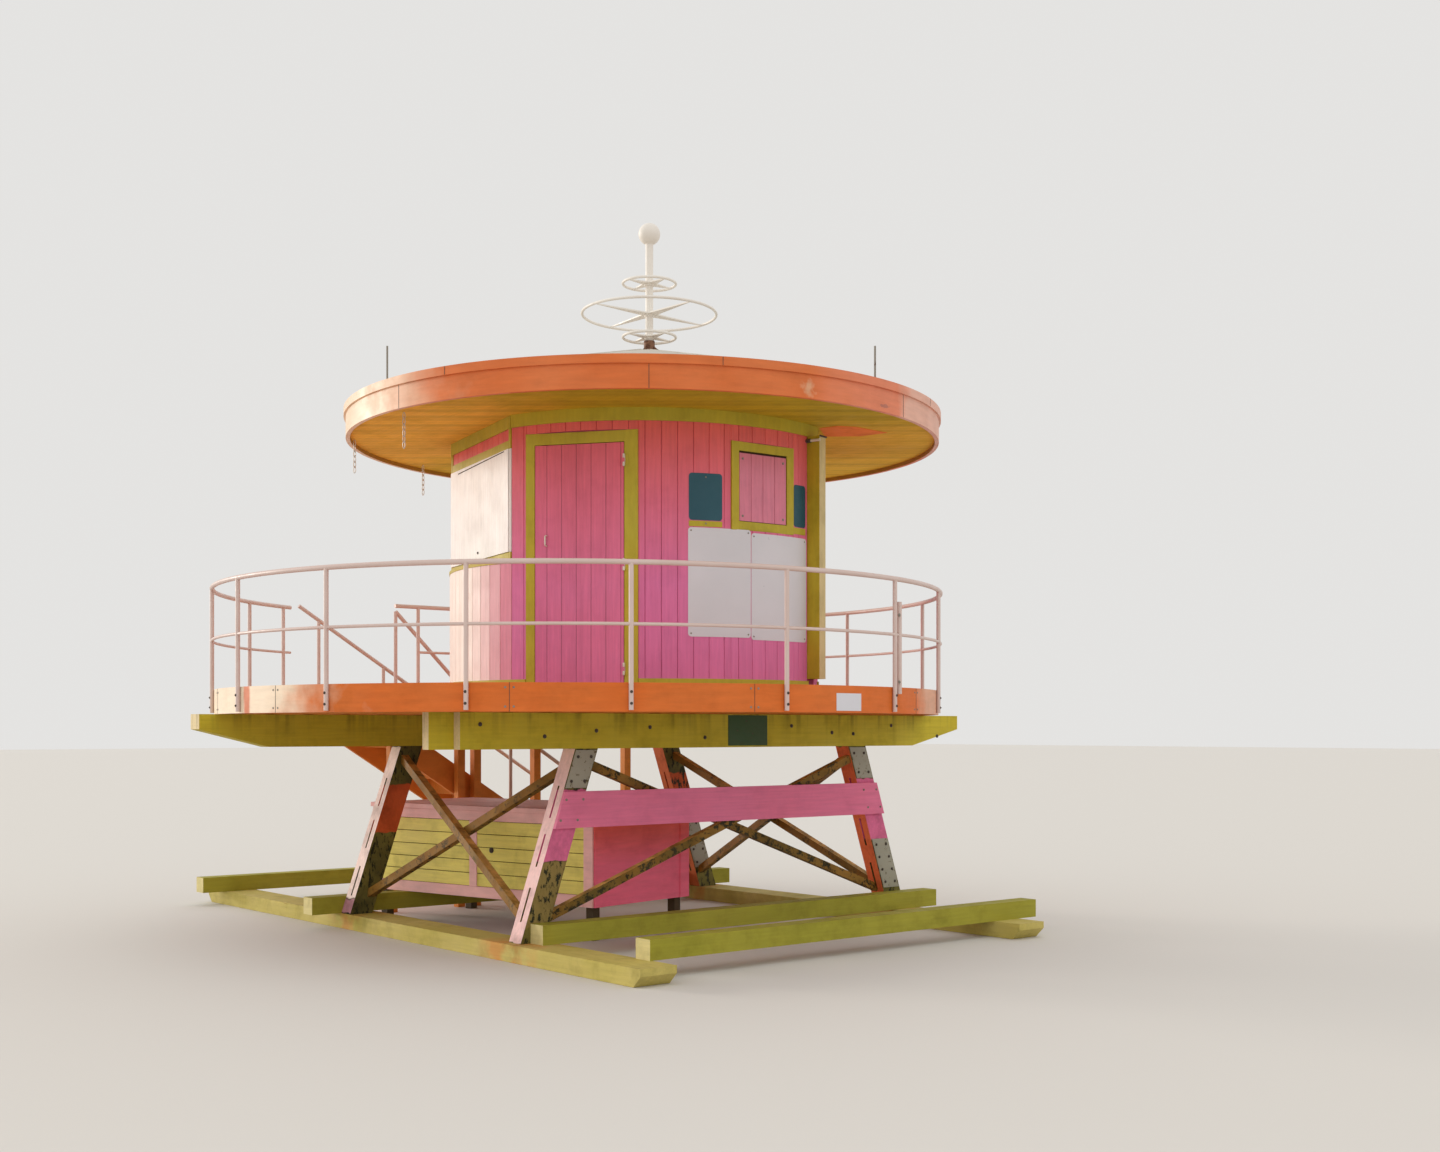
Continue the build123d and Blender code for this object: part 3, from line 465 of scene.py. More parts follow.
def stretch_zone(axis, low, high, soft, strength=1.0, patchy=False):
    """From low to high along an axis, with a soft edge, in patches if patchy."""

    def mask(tree, spot):
        inside = between(tree, add(tree, "SeparateXYZ", spot, out=axis), low, high, soft)
        if patchy:
            noise = add(tree, "TexNoise", {"Vector": spot, "Scale": 5.0, "Detail": 6.0})
            inside = add(tree, "Math", inside, add(tree, "MapRange", noise, 0.40, 0.60, 0.0, 1.0), operation="MULTIPLY")
        return add(tree, "Math", inside, strength, operation="MULTIPLY")

    return mask


def spot_zone(centre, radius, soft, wander=0.0, flat=1.0):
    """Within a radius of a place, with a wandering edge; flat squeezes the spot's height."""

    def mask(tree, spot):
        squeezed = add(tree, "Mapping", {"Vector": spot, "Scale": (1.0, 1.0, 1.0 / flat)})
        place = (centre[0], centre[1], centre[2] / flat)
        reach = add(tree, "VectorMath", squeezed, place, operation="DISTANCE", out="Value")
        noise = add(tree, "TexNoise", {"Vector": spot, "Scale": 14.0, "Detail": 6.0})
        reach = add(tree, "Math", reach, add(tree, "MapRange", noise, 0.3, 0.7, -wander, wander), operation="ADD")
        return add(tree, "MapRange", reach, radius - soft, radius, 1.0, 0.0)

    return mask


def turn_zone(centre, start, end, soft, strength=1.0, wander=6.0):
    """Angles from start to end in degrees about an upright line, with a soft, wandering edge."""

    def mask(tree, spot):
        moved = add(tree, "Mapping", {"Vector": spot, "Location": (-centre[0], -centre[1], 0.0)})
        moved = add(tree, "Mapping", {"Vector": moved, "Rotation": (0.0, 0.0, -math.radians((start + end) / 2))})
        parts = [add(tree, "SeparateXYZ", moved, out=axis) for axis in ("X", "Y")]
        turn = add(tree, "Math", parts[1], parts[0], operation="ARCTAN2")
        noise = add(tree, "TexNoise", {"Vector": spot, "Scale": 2.5, "Detail": 5.0})
        noise = add(tree, "MapRange", noise, 0.3, 0.7, -math.radians(wander), math.radians(wander))
        turn = add(tree, "Math", turn, noise, operation="ADD")
        half = math.radians(end - start) / 2
        inside = between(tree, turn, -half, half, math.radians(soft))
        return add(tree, "Math", inside, strength, operation="MULTIPLY")

    return mask


# Boards that are lines in a material: the way across them, their offset and width, and their tones' spread
across_door = (-math.sin(math.radians(DOOR_TURN)), math.cos(math.radians(DOOR_TURN)), 0.0)
DOOR_BOARDS = (across_door, 0.6444, 0.1402, 0.04)
DECK_BOARDS = ((1.0, 0.0, 0.0), 0.0, 0.14, 0.05)
SOFFIT_BOARDS = ((0.642, 0.767, 0.0), 0.0, 0.14, 0.11)
# Heights between which the walls' pink turns to orange: painted orange light thrown down from the soffit
EAVES = (3.3, 4.72)
pink = painted_timber(
    "alkyd_paint_brushed_on_pine_boards_pink", "#E276A8",
    "#DE7AAC", "#C48A9C", (42, 42, 2.4), 0.5, tone=0.05, flake=0.78, dirt=0.10, top=(*EAVES, "#EA6860"),
)
pink_shutter = painted_timber(
    "alkyd_paint_brushed_on_window_shutter_light_pink", "#E4869C", "#E08AA4", "#B06A7C", (42, 42, 2.4), 0.5, flake=0.76,
    dirt=0.12, top=(4.30, 4.56, "#D67888"),
)
# Low-wall boards that fade to cream by their tone: painted sunlight on the side the sun falls on
pink_side = painted_timber(
    "alkyd_paint_brushed_on_pine_boards_pink_bleaching_to_cream", "#E07C98", "#DB7E9E", "#C48296", (42, 42, 2.4), 0.5,
    flake=0.79, dirt=0.06, painted_sunlight="#FAEFE4",
)
pink_back = painted_timber("alkyd_paint_brushed_on_studs_rose", "#A84468", "#9C3E66", "#7A4456", (30, 30, 2), 0.6)
pink_door = painted_timber(
    "alkyd_paint_brushed_on_pine_door_pink", "#E2769E", "#DE7AA8", "#C48A9C", (42, 42, 2.4), 0.5, flake=0.8, dirt=0.10,
    lines=DOOR_BOARDS, top=(*EAVES, "#E4666E"),
)
pale = painted_timber(
    "acrylic_paint_rolled_on_ply_shutters_pale", "#EFEBE8",
    "#ECE7E2", "#DCCCC6", (30, 30, 2.2), 0.45, flake=0.84, dirt=0.05
)
lime = painted_timber(
    "alkyd_paint_brushed_on_pine_trim_olive_lime", "#C2AC2E",
    "#B8B03C", "#7A6A2C", (24, 24, 5), 0.5, flake=0.76, dirt=0.18
)
post_lime = painted_timber(
    "alkyd_paint_brushed_on_corner_post_olive", "#BCA222",
    # The pale face that looks to the front is painted sky light
    "#B4A42C", "#7F6A26", (24, 24, 4), 0.6, flake=0.76, dirt=0.22, zones=((facing_zone("Y", -0.9), "#D6C28C"),),
)
beam_green = painted_timber(
    "alkyd_paint_brushed_on_pine_beams_olive", "#C6B22A",
    "#CCBA3A", "#666A22", (2, 40, 46), 0.65, flake=0.75, dirt=0.28,
    # Beam ends that face the sun, to the left, are cream: painted sunlight
    drips=(BEAM_TOP, 0.20), zones=((facing_zone("X", -0.7), "#E2CC9A"),),
)
ground_green = painted_timber(
    "alkyd_paint_brushed_on_sleepers_yellow_green", "#9C962C",
    # Faces that look to the sun, to the left, are pale: painted sunlight
    "#ACA23A", "#6A5E30", (2.4, 2.4, 40), 0.7, flake=0.70, dirt=0.3, zones=((facing_zone("X", -0.7), "#D8C98A"),),
)
runner_green = painted_timber(
    "alkyd_paint_brushed_on_runners_yellow_green", "#BBAC52",
    "#D2BE78", "#9A7238", (30, 2, 34), 0.75, flake=0.68, dirt=0.3,
    zones=(
        (stretch_zone("Y", -2.75, -1.75, 0.25, 0.75, True), "#D08A3E"),
        (stretch_zone("Y", 0.35, 1.15, 0.25, 0.6, True), "#C98440"),
    ),
)
leg_paint = painted_timber(
    "alkyd_paint_brushed_on_leg_planks_orange_and_pink", "#4B4720",
    "#847A3A", "#2A2B14", (34, 34, 15), 0.7, fade=1.0, flake=0.53, dirt=0.45,
    zones=((leg_zone(0.28, 0.84, -1, True), "#8F7A42"), (leg_zone(1.10, 1.50, 1, False), "#CC5A2A")),
    over=(
        (leg_zone(0.95, 1.44, -1, False), "#D25C2C"),
        (leg_zone(0.84, 1.47, -1, True), "#E2709A"),
        (leg_zone(0.86, 1.50, 1, True), "#E2709A"),
        # The far-left leg's narrow face: pale pink lifted towards white as painted sunlight
        (leg_zone(0.30, 1.83, -1, False, True), "#FFE4DA"),
        (leg_zone(0.15, 0.30, -1, False, True), "#C58C96"),
        # The near-left leg's narrow face: pale pink lifted towards white as painted sunlight
        (leg_zone(0.15, 1.83, -1, True, True), "#FCD2CE"),
        (leg_zone(0.15, 1.83, 1, True, True), "#F27646"),
        (leg_zone(0.15, 1.83, 1, False, True), "#DC7444"),
    ),
)
brace_paint = painted_timber(
    "alkyd_paint_brushed_on_brace_timbers_brown_olive", "#705A20",
    "#A4762C", "#342F12", (28, 28, 28), 0.65, fade=1.0, flake=0.53, dirt=0.5,
    # Tops and left-facing faces, lighter in patches, are painted sunlight
    over=((facing_zone("Z", 0.4, 0.7), "#E8B664"), (facing_zone("X", -0.6, 0.75), "#96681E")),
)
board_paint = painted_timber(
    "alkyd_paint_brushed_on_wide_board_pink", "#EC789C", "#E67CA4", "#C48A9A", (2, 30, 36), 0.5, flake=0.78, dirt=0.12
)
deck_orange = painted_timber(
    "alkyd_paint_brushed_on_deck_boards_orange", "#D0672F", "#C96D3A", "#9A6A4A", (40, 2, 40), 0.6, flake=0.72,
    lines=DECK_BOARDS,
)
edge_orange = painted_timber(
    "alkyd_paint_rolled_on_ply_fascia_orange", "#DC6C22", "#DE7632", "#C99060", (3, 3, 22), 0.55, fade=0.8, flake=0.76,
    dirt=0.14,
    zones=(
        # The first zone, cream on the left, is painted sunlight
        (turn_zone(DECK, 100.0, 202.0, 14.0), "#F4DCC0"),
        (turn_zone(DECK, 178.5, 181.0, 0.6, 0.9, 0.3), "#D2642E"),
        (turn_zone(DECK, 292.0, 330.0, 6.0, 0.8, 3.0), "#E0B094"),
    ),
)
stair_orange = painted_timber(
    "alkyd_paint_brushed_on_stair_boards_orange", "#E08C36",
    "#D88238", "#A8743E", (3, 30, 14), 0.6, flake=0.76, dirt=0.2
)
roof_orange = painted_timber(
    "alkyd_paint_rolled_on_roof_fascia_orange", "#DE7236", "#E07E48", "#E3B090", (3, 3, 22), 0.45, fade=0.8, flake=0.75,
    dirt=0.10,
    zones=(
        # The first zone, cream on the left end, is painted sunlight
        (turn_zone(HUT, 90.0, 200.0, 26.0, 1.0, 5.0), "#F0D0B0"),
        (spot_zone((-0.11, -3.984, 4.905), 0.080, 0.05, 0.04), "#E2A47C"),
        (spot_zone((0.82, -3.98, 4.875), 0.075, 0.02, 0.05, 0.2), "#8A5240"),
        (turn_zone(HUT, 258.0, 330.0, 16.0, 0.5, 4.0), "#E89078"),
        (turn_zone(HUT, 284.0, 330.0, 3.0, 0.8, 2.0), "#E6B8A4"),
    ),
    over=((inward_zone(HUT), "#A87A24"),),
)
soffit_ochre = painted_timber(
    "alkyd_paint_brushed_on_narrow_soffit_boards_ochre", "#C6AC1C", "#C0A822", "#A07C22", (36, 3, 30), 0.85, flake=0.77,
    dirt=0.18, lines=SOFFIT_BOARDS,
    # Both zones paint the soffit's left and right ends lighter: painted light
    zones=((turn_zone(HUT, 95.0, 215.0, 30.0, 0.75), "#FFC24A"), (turn_zone(HUT, 282.0, 420.0, 24.0, 0.7), "#F0C43C")),
)
roofing = painted_timber("acrylic_coating_rolled_on_roof_sheet_pale", "#CFC8BC", "#BDB6AA", "#9E978C", (4, 4, 4), 0.8)
locker_lime = painted_timber(
    "alkyd_paint_brushed_on_locker_boards_yellow_green", "#F6E676",
    "#ECDD78", "#8F8A4A", (3, 3, 36), 0.6, tone=0.04, flake=0.79
)
locker_pink = painted_timber(
    "alkyd_paint_brushed_on_locker_frame_pale_pink", "#FCC2BE",
    "#F8C6C6", "#C98A94", (16, 3, 20), 0.55, flake=0.78, dirt=0.15,
    # Dark brown below the locker's frame is painted shade under the locker
    zones=((stretch_zone("Z", -0.1, 0.318, 0.001), "#4E3E24"),),
)
locker_hot_pink = painted_timber(
    "alkyd_paint_brushed_on_locker_end_hot_pink", "#FF7292",
    "#F87088", "#C05C74", (3, 3, 20), 0.55, flake=0.8, dirt=0.12, top=(0.70, 1.15, "#FF6C54"),
)
rail_enamel = enamelled_steel("enamel_brushed_on_steel_pipe_pale_pink", "#D6C0B8", "#A8705A", 0.35, 0.75)
mast_enamel = enamelled_steel("enamel_brushed_on_steel_mast_cream", "#EFEAE2", "#A87C58", 0.4, 0.76, 5.88)
rusty_steel = enamelled_steel("bare_steel_clamp_rusted_brown", "#8A6248", "#5E3A26", 0.6, 0.5)
zinc = enamelled_steel("hot_dip_zinc_on_steel_bolts_grey", "#8E877C", "#5E4434", 0.5, 0.6)
dark_bolt = enamelled_steel("weathered_zinc_on_steel_bolts_dark", "#4A4038", "#33261E", 0.55, 0.6)
plate_grey = enamelled_steel("hot_dip_zinc_on_steel_leg_plates_grey", "#A09C8C", "#5F5234", 0.55, 0.58)
sign_white = enamelled_steel("powder_coat_on_aluminium_sign_blanks_white", "#D8D6DC", "#AEB4B8", 0.35, 0.68)
sign_blue = enamelled_steel("powder_coat_on_aluminium_sign_blank_dark_blue", "#0E4C5C", "#3E7484", 0.35, 0.70)
sign_dark = enamelled_steel("powder_coat_on_aluminium_street_plate_dark_green", "#264A12", "#4A3A2A", 0.4, 0.62)
hinge_pale = enamelled_steel("zinc_plate_on_steel_hinges_pale", "#D8CFC2", "#A08A72", 0.35, 0.66)
hinge_lime = painted_timber(
    "alkyd_paint_brushed_over_hinges_olive_lime", "#C2AC2E",
    "#B8B03C", "#D8CFC2", (24, 24, 5), 0.45, flake=0.7, dirt=0.15,
    over=tuple((spot_zone((*HINGE, z), 0.017, 0.002, 0.0, 5.0), "#E6DED2") for z in HINGE_LEVELS),
)
soffit_orange = painted_timber(
    "alkyd_paint_brushed_on_soffit_patch_orange", "#F58E3A", "#EA8030", "#B0703A", (3, 3, 22), 0.8
)
dark_gap = painted_timber("bare_pine_in_shaded_joints_dark_brown", "#3A2A16", "#44321A", "#2A1E10", (9, 9, 9), 0.9)

for material, node_names in (
    (runner_green, "runners"), (ground_green, "cross_timbers"), (leg_paint, "legs"), (board_paint, "cross_board"),
    (brace_paint, "braces_front braces_left braces_right"), (beam_green, "near_beam far_beam"),
    (stair_orange, "deck_joists opening_trim deck_posts stair_stringers stair_treads"),
    (deck_orange, "deck_floor"), (edge_orange, "deck_fascia"),
    (rail_enamel, "rail_far_left rail_near_left rail_near_right rail_far_right guard_rail stair_handrails"),
    (pink_back, "wall_left wall_right wall_over_door wall_flat low_walls bay_walls"),
    (lime, "low_wall_cap frieze door_frame window_frame"), (pale, "bay_shutters"), (post_lime, "corner_post"),
    (pink_door, "door"), (hinge_lime, "door_hinges"), (hinge_pale, "door_handle"), (dark_gap, "window_shutter"),
    (soffit_ochre, "roof_soffit"), (roof_orange, "roof_fascia"), (roofing, "roof_top"),
    (mast_enamel, "mast mast_rings"), (locker_pink, "locker_body locker_lid"),
):
    for node_name in node_names.split():
        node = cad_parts[node_name]
        node.data.materials.clear()
        node.data.materials.append(material)


# ---------------------------------------------------------------- hut walls
def cut(turn, half, low, high):
    """A flat frame's opening on the round wall: its half width seen as an angle."""
    reach = math.asin(half / WALL)
    middle = math.radians(turn)
    return (middle - reach, middle + reach, low, high)


door_cut = cut(DOOR_TURN, 0.5285, DECK_TOP, 4.666)
window_cut = cut(WINDOW_TURN, 0.362, 3.798, 4.602)
round_gap = GAP / WALL
board_low, board_high = DECK_TOP + 0.002, FRIEZE_LOW - 0.001
wall_start, wall_end = math.radians(-166.0), math.radians(-75.5)
# The last, narrow board lies between the corner post and the flat wall
boards(
    "round_wall_boards", round_wall(),
    board_spans(wall_start, wall_end, 21, round_gap, board_low, board_high, (door_cut, window_cut))
    + [(math.radians(-72.0), math.radians(-70.05), board_low, board_high)],
    SKIN, 0.004, pink, 0.004 / WALL,
)
boards(
    "flat_wall_boards", flat_wall(FLAT_TURN, FLAT),
    board_spans(-FLAT_HALF + GAP, FLAT_HALF - 0.002, 12, GAP, board_low, board_high),
    SKIN, 0.004, pink, seed=5,
)
low_start, low_end = math.radians(-17.2), math.radians(194.0)
low_spans = board_spans(low_start, low_end, 48, round_gap, board_low, LOW_WALL_TOP - 0.001)
low_middle = np.degrees(np.mean([span[:2] for span in low_spans], axis=1))
# Each low-wall board's share of painted sunlight, by its angle: most on the left, where the sun falls
sunlight_share = np.interp(low_middle, (60.0, 120.0, 172.0, 178.0, 192.0), (0.05, 0.9, 1.0, 0.85, 0.10))
boards("low_wall_boards", round_wall(), low_spans, SKIN, 0.004, pink_side, 0.004 / WALL, seed=7, tones=sunlight_share)
bay_edge = FLAT_HALF - GAP
inner = FLAT_HALF - 0.052
sill_high = BAY_LOW - 0.002
for number, turn in enumerate(BAY_TURNS):
    face = flat_wall(turn, FLAT)
    boards(
        f"bay_{number + 1}_transom_boards", face, board_spans(-inner, inner, 11, GAP, 4.640, board_high),
        SKIN, 0.004, pink, seed=20 + number,
    )
    boards(
        f"bay_{number + 1}_trim", face,
        (
            (-inner - 0.001, inner + 0.001, BAY_HEAD, 4.638), (-inner - 0.001, inner + 0.001, BAY_SILL, sill_high),
            (-bay_edge, -inner - 0.002, BAY_HEAD, board_high), (inner + 0.002, bay_edge, BAY_HEAD, board_high),
            (-bay_edge, -inner - 0.002, BAY_SILL, sill_high), (inner + 0.002, bay_edge, BAY_SILL, sill_high),
        ),
        TRIM, BEVEL, lime,
    )
for number, span in ((0, (-bay_edge, -0.826)), (3, (0.826, bay_edge))):
    boards(
        f"bay_{number + 1}_end_strip", flat_wall(BAY_TURNS[number], FLAT), ((*span, BAY_LOW, BAY_HIGH),),
        TRIM, BEVEL, pale,
    )

# Mitred corner boards between neighbouring bays: three points on one face, then three on the next
corner_rings = []
leg = FLAT_HALF - 0.032
tip = FLAT_HALF + TRIM * math.tan(math.radians(HALF_FACET))
corner_levels = np.array((BAY_LOW, BAY_HIGH))[:, None]
for turn in BAY_TURNS[:-1]:
    one = flat_wall(turn, FLAT)(np.array((leg, leg, tip)), np.array((0.0, TRIM, TRIM)), corner_levels)
    other = flat_wall(turn + 2 * HALF_FACET, FLAT)(
        np.array((-leg, -leg, -FLAT_HALF)), np.array((TRIM, 0.0, -0.0005)), corner_levels
    )
    corner_rings.append(np.concatenate((one, other), axis=1))
loft("bay_corner_boards", np.stack(corner_rings), pale)

# A dark strip of painted shade in the gap above the left shutter's crooked top batten, and the bolt that holds its foot
shutter_face = flat_wall(BAY_TURNS[3], 1.7587)
shutter_out = level_way(math.radians(BAY_TURNS[3]))
slot = shutter_face(np.array((-0.60, 0.72, 0.72, -0.60)), 0.0, np.array((4.520, 4.545, 4.553, 4.529)))
plates("bay_4_shutter_gap_painted_shade", slot[None], (shutter_out,), 0.0016, dark_gap)
bolt_heads("bay_4_shutter_bolt", [shutter_face(-0.003, 0.0, 3.687)], shutter_out, 0.014, 0.012, dark_bolt)


# Skirting along the foot of every wall
def skirting(name, place, start, end, count):
    """A strip's section, four points, carried along the wall in even steps."""
    low, high, thick = DECK_TOP, DECK_TOP + 0.075, 0.026
    across = np.linspace(start, end, count)[None, :, None]
    rings = place(across, np.array((0.0, thick, thick, 0.0)), np.array((low, low, high, high)))
    return loft(name, rings, lime)


skirting("skirting_round_left", round_wall(), wall_start, door_cut[0] - 0.001, 6)
skirting("skirting_round_right", round_wall(), door_cut[1] + 0.001, wall_end, 30)
skirting("skirting_low_walls", round_wall(), low_start, low_end, 90)
skirting("skirting_flat_wall", flat_wall(FLAT_TURN, FLAT), -bay_edge, FLAT_HALF - 0.002, 2)

# Boards and bolts of the window shutter, which stop short of its head
shutter_thick = 0.008
window_face = flat_wall(WINDOW_TURN, 1.9055)
boards(
    "window_shutter_boards", window_face, board_spans(-0.274, 0.274, 4, GAP, 3.886, 4.500),
    shutter_thick, BEVEL, pink_shutter, seed=11,
)
shutter_bolts = window_face(np.array((-0.235, 0.235) * 2), shutter_thick, np.array((3.93, 3.93, 4.45, 4.45)))
bolt_heads("window_shutter_bolts", shutter_bolts, level_way(math.radians(WINDOW_TURN)), 0.012, 0.008, zinc)


# ---------------------------------------------------------------- sign blanks on the round wall
def sign(name, start, end, low, high, material, corner=0.03):
    """A thin sheet bent to the wall: a rounded rectangle's upper and lower edge against distance across.

    In its corners the edge drops by the corner radius less the root of its square minus the square of
    the distance past the straight part.
    """
    columns = 40
    half_wide = math.radians(end - start) * WALL / 2
    half_high = (high - low) / 2
    side = half_wide - corner + corner * np.sin(np.linspace(0.0, math.pi / 2, columns // 2))
    across = np.concatenate((-side[::-1], side))
    beyond = np.abs(across) - (half_wide - corner)
    reach = half_high - corner + np.sqrt(np.clip(corner**2 - beyond**2, 1e-8, None))
    middle, level = math.radians((start + end) / 2), (low + high) / 2
    fill = np.linspace(-half_wide + corner, half_wide - corner, 14)[1:-1]
    across = np.concatenate((across[: columns // 2], fill, across[columns // 2 :]))
    reach = np.concatenate((reach[: columns // 2], np.full(12, half_high), reach[columns // 2 :]))
    up = np.stack((level - reach, level + reach, level + reach, level - reach), axis=1)
    back = SIGN_LIFT - SIGN_THICK
    rings = round_wall()((middle + across / WALL)[:, None], np.array((SIGN_LIFT, SIGN_LIFT, back, back)), up)
    return loft(name, rings[None], material, round_below=30.0)


sign("sign_blank_white_left", -115.8, -97.6, 2.826, 3.803, sign_white)
sign("sign_blank_white_right", -97.4, -76.2, 2.809, 3.779, sign_white)
sign("sign_blank_dark_blue", -115.6, -106.3, 3.868, 4.290, sign_blue)
sign("sign_strip_lime", -115.6, -106.3, 3.812, 3.862, lime, corner=0.004)
sign("sign_blank_small_blue", -81.9, -76.6, 3.879, 4.271, sign_blue)
sign("sign_strip_lime_small", -81.9, -76.6, 3.812, 3.872, lime, corner=0.004)
screw_turns = np.radians((-115.0, -98.4, -115.0, -98.4, -96.6, -77.0, -96.6, -77.0, -110.95, -110.95))
screw_up = np.array((3.775, 3.775, 2.855, 2.855, 3.75, 3.75, 2.84, 2.84, 4.255, 3.84))
screws = round_wall()(screw_turns, SIGN_LIFT, screw_up)
bolt_heads("sign_screws", screws, level_way(screw_turns), 0.008, 0.005, zinc)

# ---------------------------------------------------------------- rail posts: two bolts each through the deck's edge
post_turns = np.radians(
    (120.0, 131.0, 156.5, 177.5, 198.9, 219.9, 241.0, 262.8, 285.0, 306.3, 331.0, 357.5, 376.5, 395.0)
)
rail_reach = DECK_EDGE + 0.0203
for level in (2.300, 2.206):
    bolt_heads(
        f"rail_post_bolts_{round(level * 1000)}", deck_place(post_turns, rail_reach + 0.0195, level),
        level_way(post_turns), 0.0125, 0.010, dark_bolt,
    )

# Staff holder: a short tube clamped beside one post
holder_turn = math.radians(286.14)
holder = deck_place(holder_turn, rail_reach + 0.004, np.array((2.314, 2.7, 3.14)))
tube("staff_holder", holder[None], 0.024, rail_enamel, 16)
bolt_heads(
    "staff_holder_clamps", deck_place(math.radians(285.6), rail_reach + 0.022, np.array((2.42, 3.02))),
    level_way(holder_turn), 0.016, 0.014, zinc,
)


# ---------------------------------------------------------------- deck edge
seams = np.radians((165.0, 188.0, 225.5, 258.0, 293.0, 326.0, 359.0, 392.0))


def upright_strips(name, turns, reach, low, high, half, place):
    """Narrow upright strips on a round face: four points in plan, carried from low to high."""
    angle = turns[:, None, None] + np.array((-half, -half, half, half)) / reach
    out = reach + np.array((-0.001, 0.0015, 0.0015, -0.001))
    return loft(name, place(angle, out, np.array((low, high))[:, None]), dark_bolt)


upright_strips("deck_edge_seams", seams, DECK_EDGE, 2.141, 2.374, 0.002, deck_place)
for shift in (-0.035, 0.035):
    for level in (2.18, 2.335):
        bolt_heads(
            f"deck_edge_screws_{'a' if shift < 0 else 'b'}_{round(level * 1000)}",
            deck_place(seams + shift / DECK_EDGE, DECK_EDGE, level), level_way(seams), 0.010, 0.005, zinc,
        )
plate_turns = np.radians(np.linspace(271.8, 276.9, 8))
plate_up = np.array((2.157, 2.308, 2.308, 2.157))
plate_out = np.array((0.0035, 0.0035, 0.0005, 0.0005))
edge_plate = deck_place(plate_turns[:, None], DECK_EDGE + plate_out, plate_up)
loft("deck_edge_plate_blank", edge_plate[None], sign_white, round_below=35.0)

# ---------------------------------------------------------------- beams and legs
beam_face_y = NEAR_LEG_Y - 0.1005
street = [(x, beam_face_y, z) for x, z in ((0.384, 1.842), (0.88, 1.842), (0.88, 2.132), (0.384, 2.132))]
plates("street_plate_blank", [street], (TOWARDS_FRONT,), 0.004, sign_dark)
beam_bolts_x = np.array((-2.35, -1.7, -1.15, -0.55, 0.1, 1.2, 1.75, 2.05, 2.6, 3.3))
beam_bolts = np.stack((beam_bolts_x, np.full(10, beam_face_y), 1.98 + 0.06 * np.cos(np.arange(10) * 2.4)), axis=1)
bolt_heads("near_beam_bolts", beam_bolts, TOWARDS_FRONT, 0.019, 0.014, dark_bolt)


def leg_x(side, near, z):
    """Middle of a leg at a height: its foot stands out and it leans in by 0.34 per metre."""
    return LEGS_X + (0.03 if near else -0.05) + side * (2.25 - 0.3399 * (z - 0.15))


plate_corners, plate_bolts = [], []
half = 0.112
for side, near, low, high in (
    (-1, True, 1.48, 1.815), (1, True, 1.50, 1.815), (1, True, 0.36, 0.87), (1, False, 0.38, 0.96)
):
    face = (NEAR_LEG_Y if near else FAR_LEG_Y) - LEG_DEEP
    bottom, above = leg_x(side, near, low), leg_x(side, near, high)
    plate_corners.append(
        [(bottom - half, face, low), (bottom + half, face, low), (above + half, face, high), (above - half, face, high)]
    )
    for z in np.linspace(low + 0.06, high - 0.06, 4 if high - low > 0.4 else 2):
        middle = leg_x(side, near, z)
        plate_bolts += [(middle - 0.07, face - 0.006, z), (middle + 0.07, face - 0.006, z)]
plates("leg_plates", plate_corners, (TOWARDS_FRONT,), 0.006, plate_grey)
bolt_heads("leg_plate_bolts", plate_bolts, TOWARDS_FRONT, 0.015, 0.013, dark_bolt)
board_bolts = [(leg_x(side, True, z) + dx, -2.3705, z) for side in (-1, 1) for z in (1.2, 1.38) for dx in (-0.09, 0.09)]
bolt_heads("cross_board_bolts", board_bolts, TOWARDS_FRONT, 0.012, 0.009, zinc)


# ---------------------------------------------------------------- locker
def locker_place(across, out, up):
    """Across runs along the locker's left side, out away from it, both turned 12 degrees."""
    across, out, up = np.broadcast_arrays(across, out, up)
    cosine, sine = math.cos(math.radians(12.0)), math.sin(math.radians(12.0))
    return np.stack((-0.71 - out * cosine - across * sine, -1.68 - out * sine + across * cosine, up), axis=-1)


def locker_end(across, out, up):
    """Across runs along the locker's near end, out away from it: the same place a quarter turn on."""
    return locker_place(-out, -across, up)


locker_low, locker_high = 0.32, 1.185
frame_low, frame_high = locker_low + 0.11, locker_high - 0.10
rows = np.linspace(frame_low, frame_high, 6)
bays = ((0.12, 1.565), (1.675, 3.02))
boards(
    "locker_side_backing", locker_place, ((0.12, 3.02, rows[0], rows[-1]),), 0.0015, 0.0005, dark_gap, lying=True
)
boards(
    "locker_side_boards", locker_place,
    [(left, right, a + GAP, b - GAP) for left, right in bays for a, b in zip(rows[:-1], rows[1:])],
    0.006, BEVEL, locker_lime, lying=True,
)
boards(
    "locker_side_frame", locker_place,
    (
        (0.0, 0.118, locker_low, locker_high), (3.022, 3.14, locker_low, locker_high),
        (1.567, 1.673, frame_low, frame_high),
    ),
    0.014, BEVEL, locker_pink,
)
boards(
    "locker_side_rails", locker_place,
    ((0.119, 3.021, locker_low, locker_low + 0.108), (0.119, 3.021, locker_high - 0.098, locker_high)),
    0.014, BEVEL, locker_pink, lying=True,
)
boards("locker_end_panel", locker_end, ((0.0, 1.4, locker_low, locker_high),), 0.008, BEVEL, locker_hot_pink)
boards(
    "locker_end_battens", locker_end, ((0.0, 0.14, locker_low, locker_high), (1.26, 1.4, locker_low, locker_high)),
    TRIM, BEVEL, locker_hot_pink,
)
locker_out = locker_place(0.0, 1.0, 0.0) - locker_place(0.0, 0.0, 0.0)
bolt_heads("locker_latch", [locker_place(1.36, 0.006, 0.80)], locker_out, 0.03, 0.02, dark_bolt)


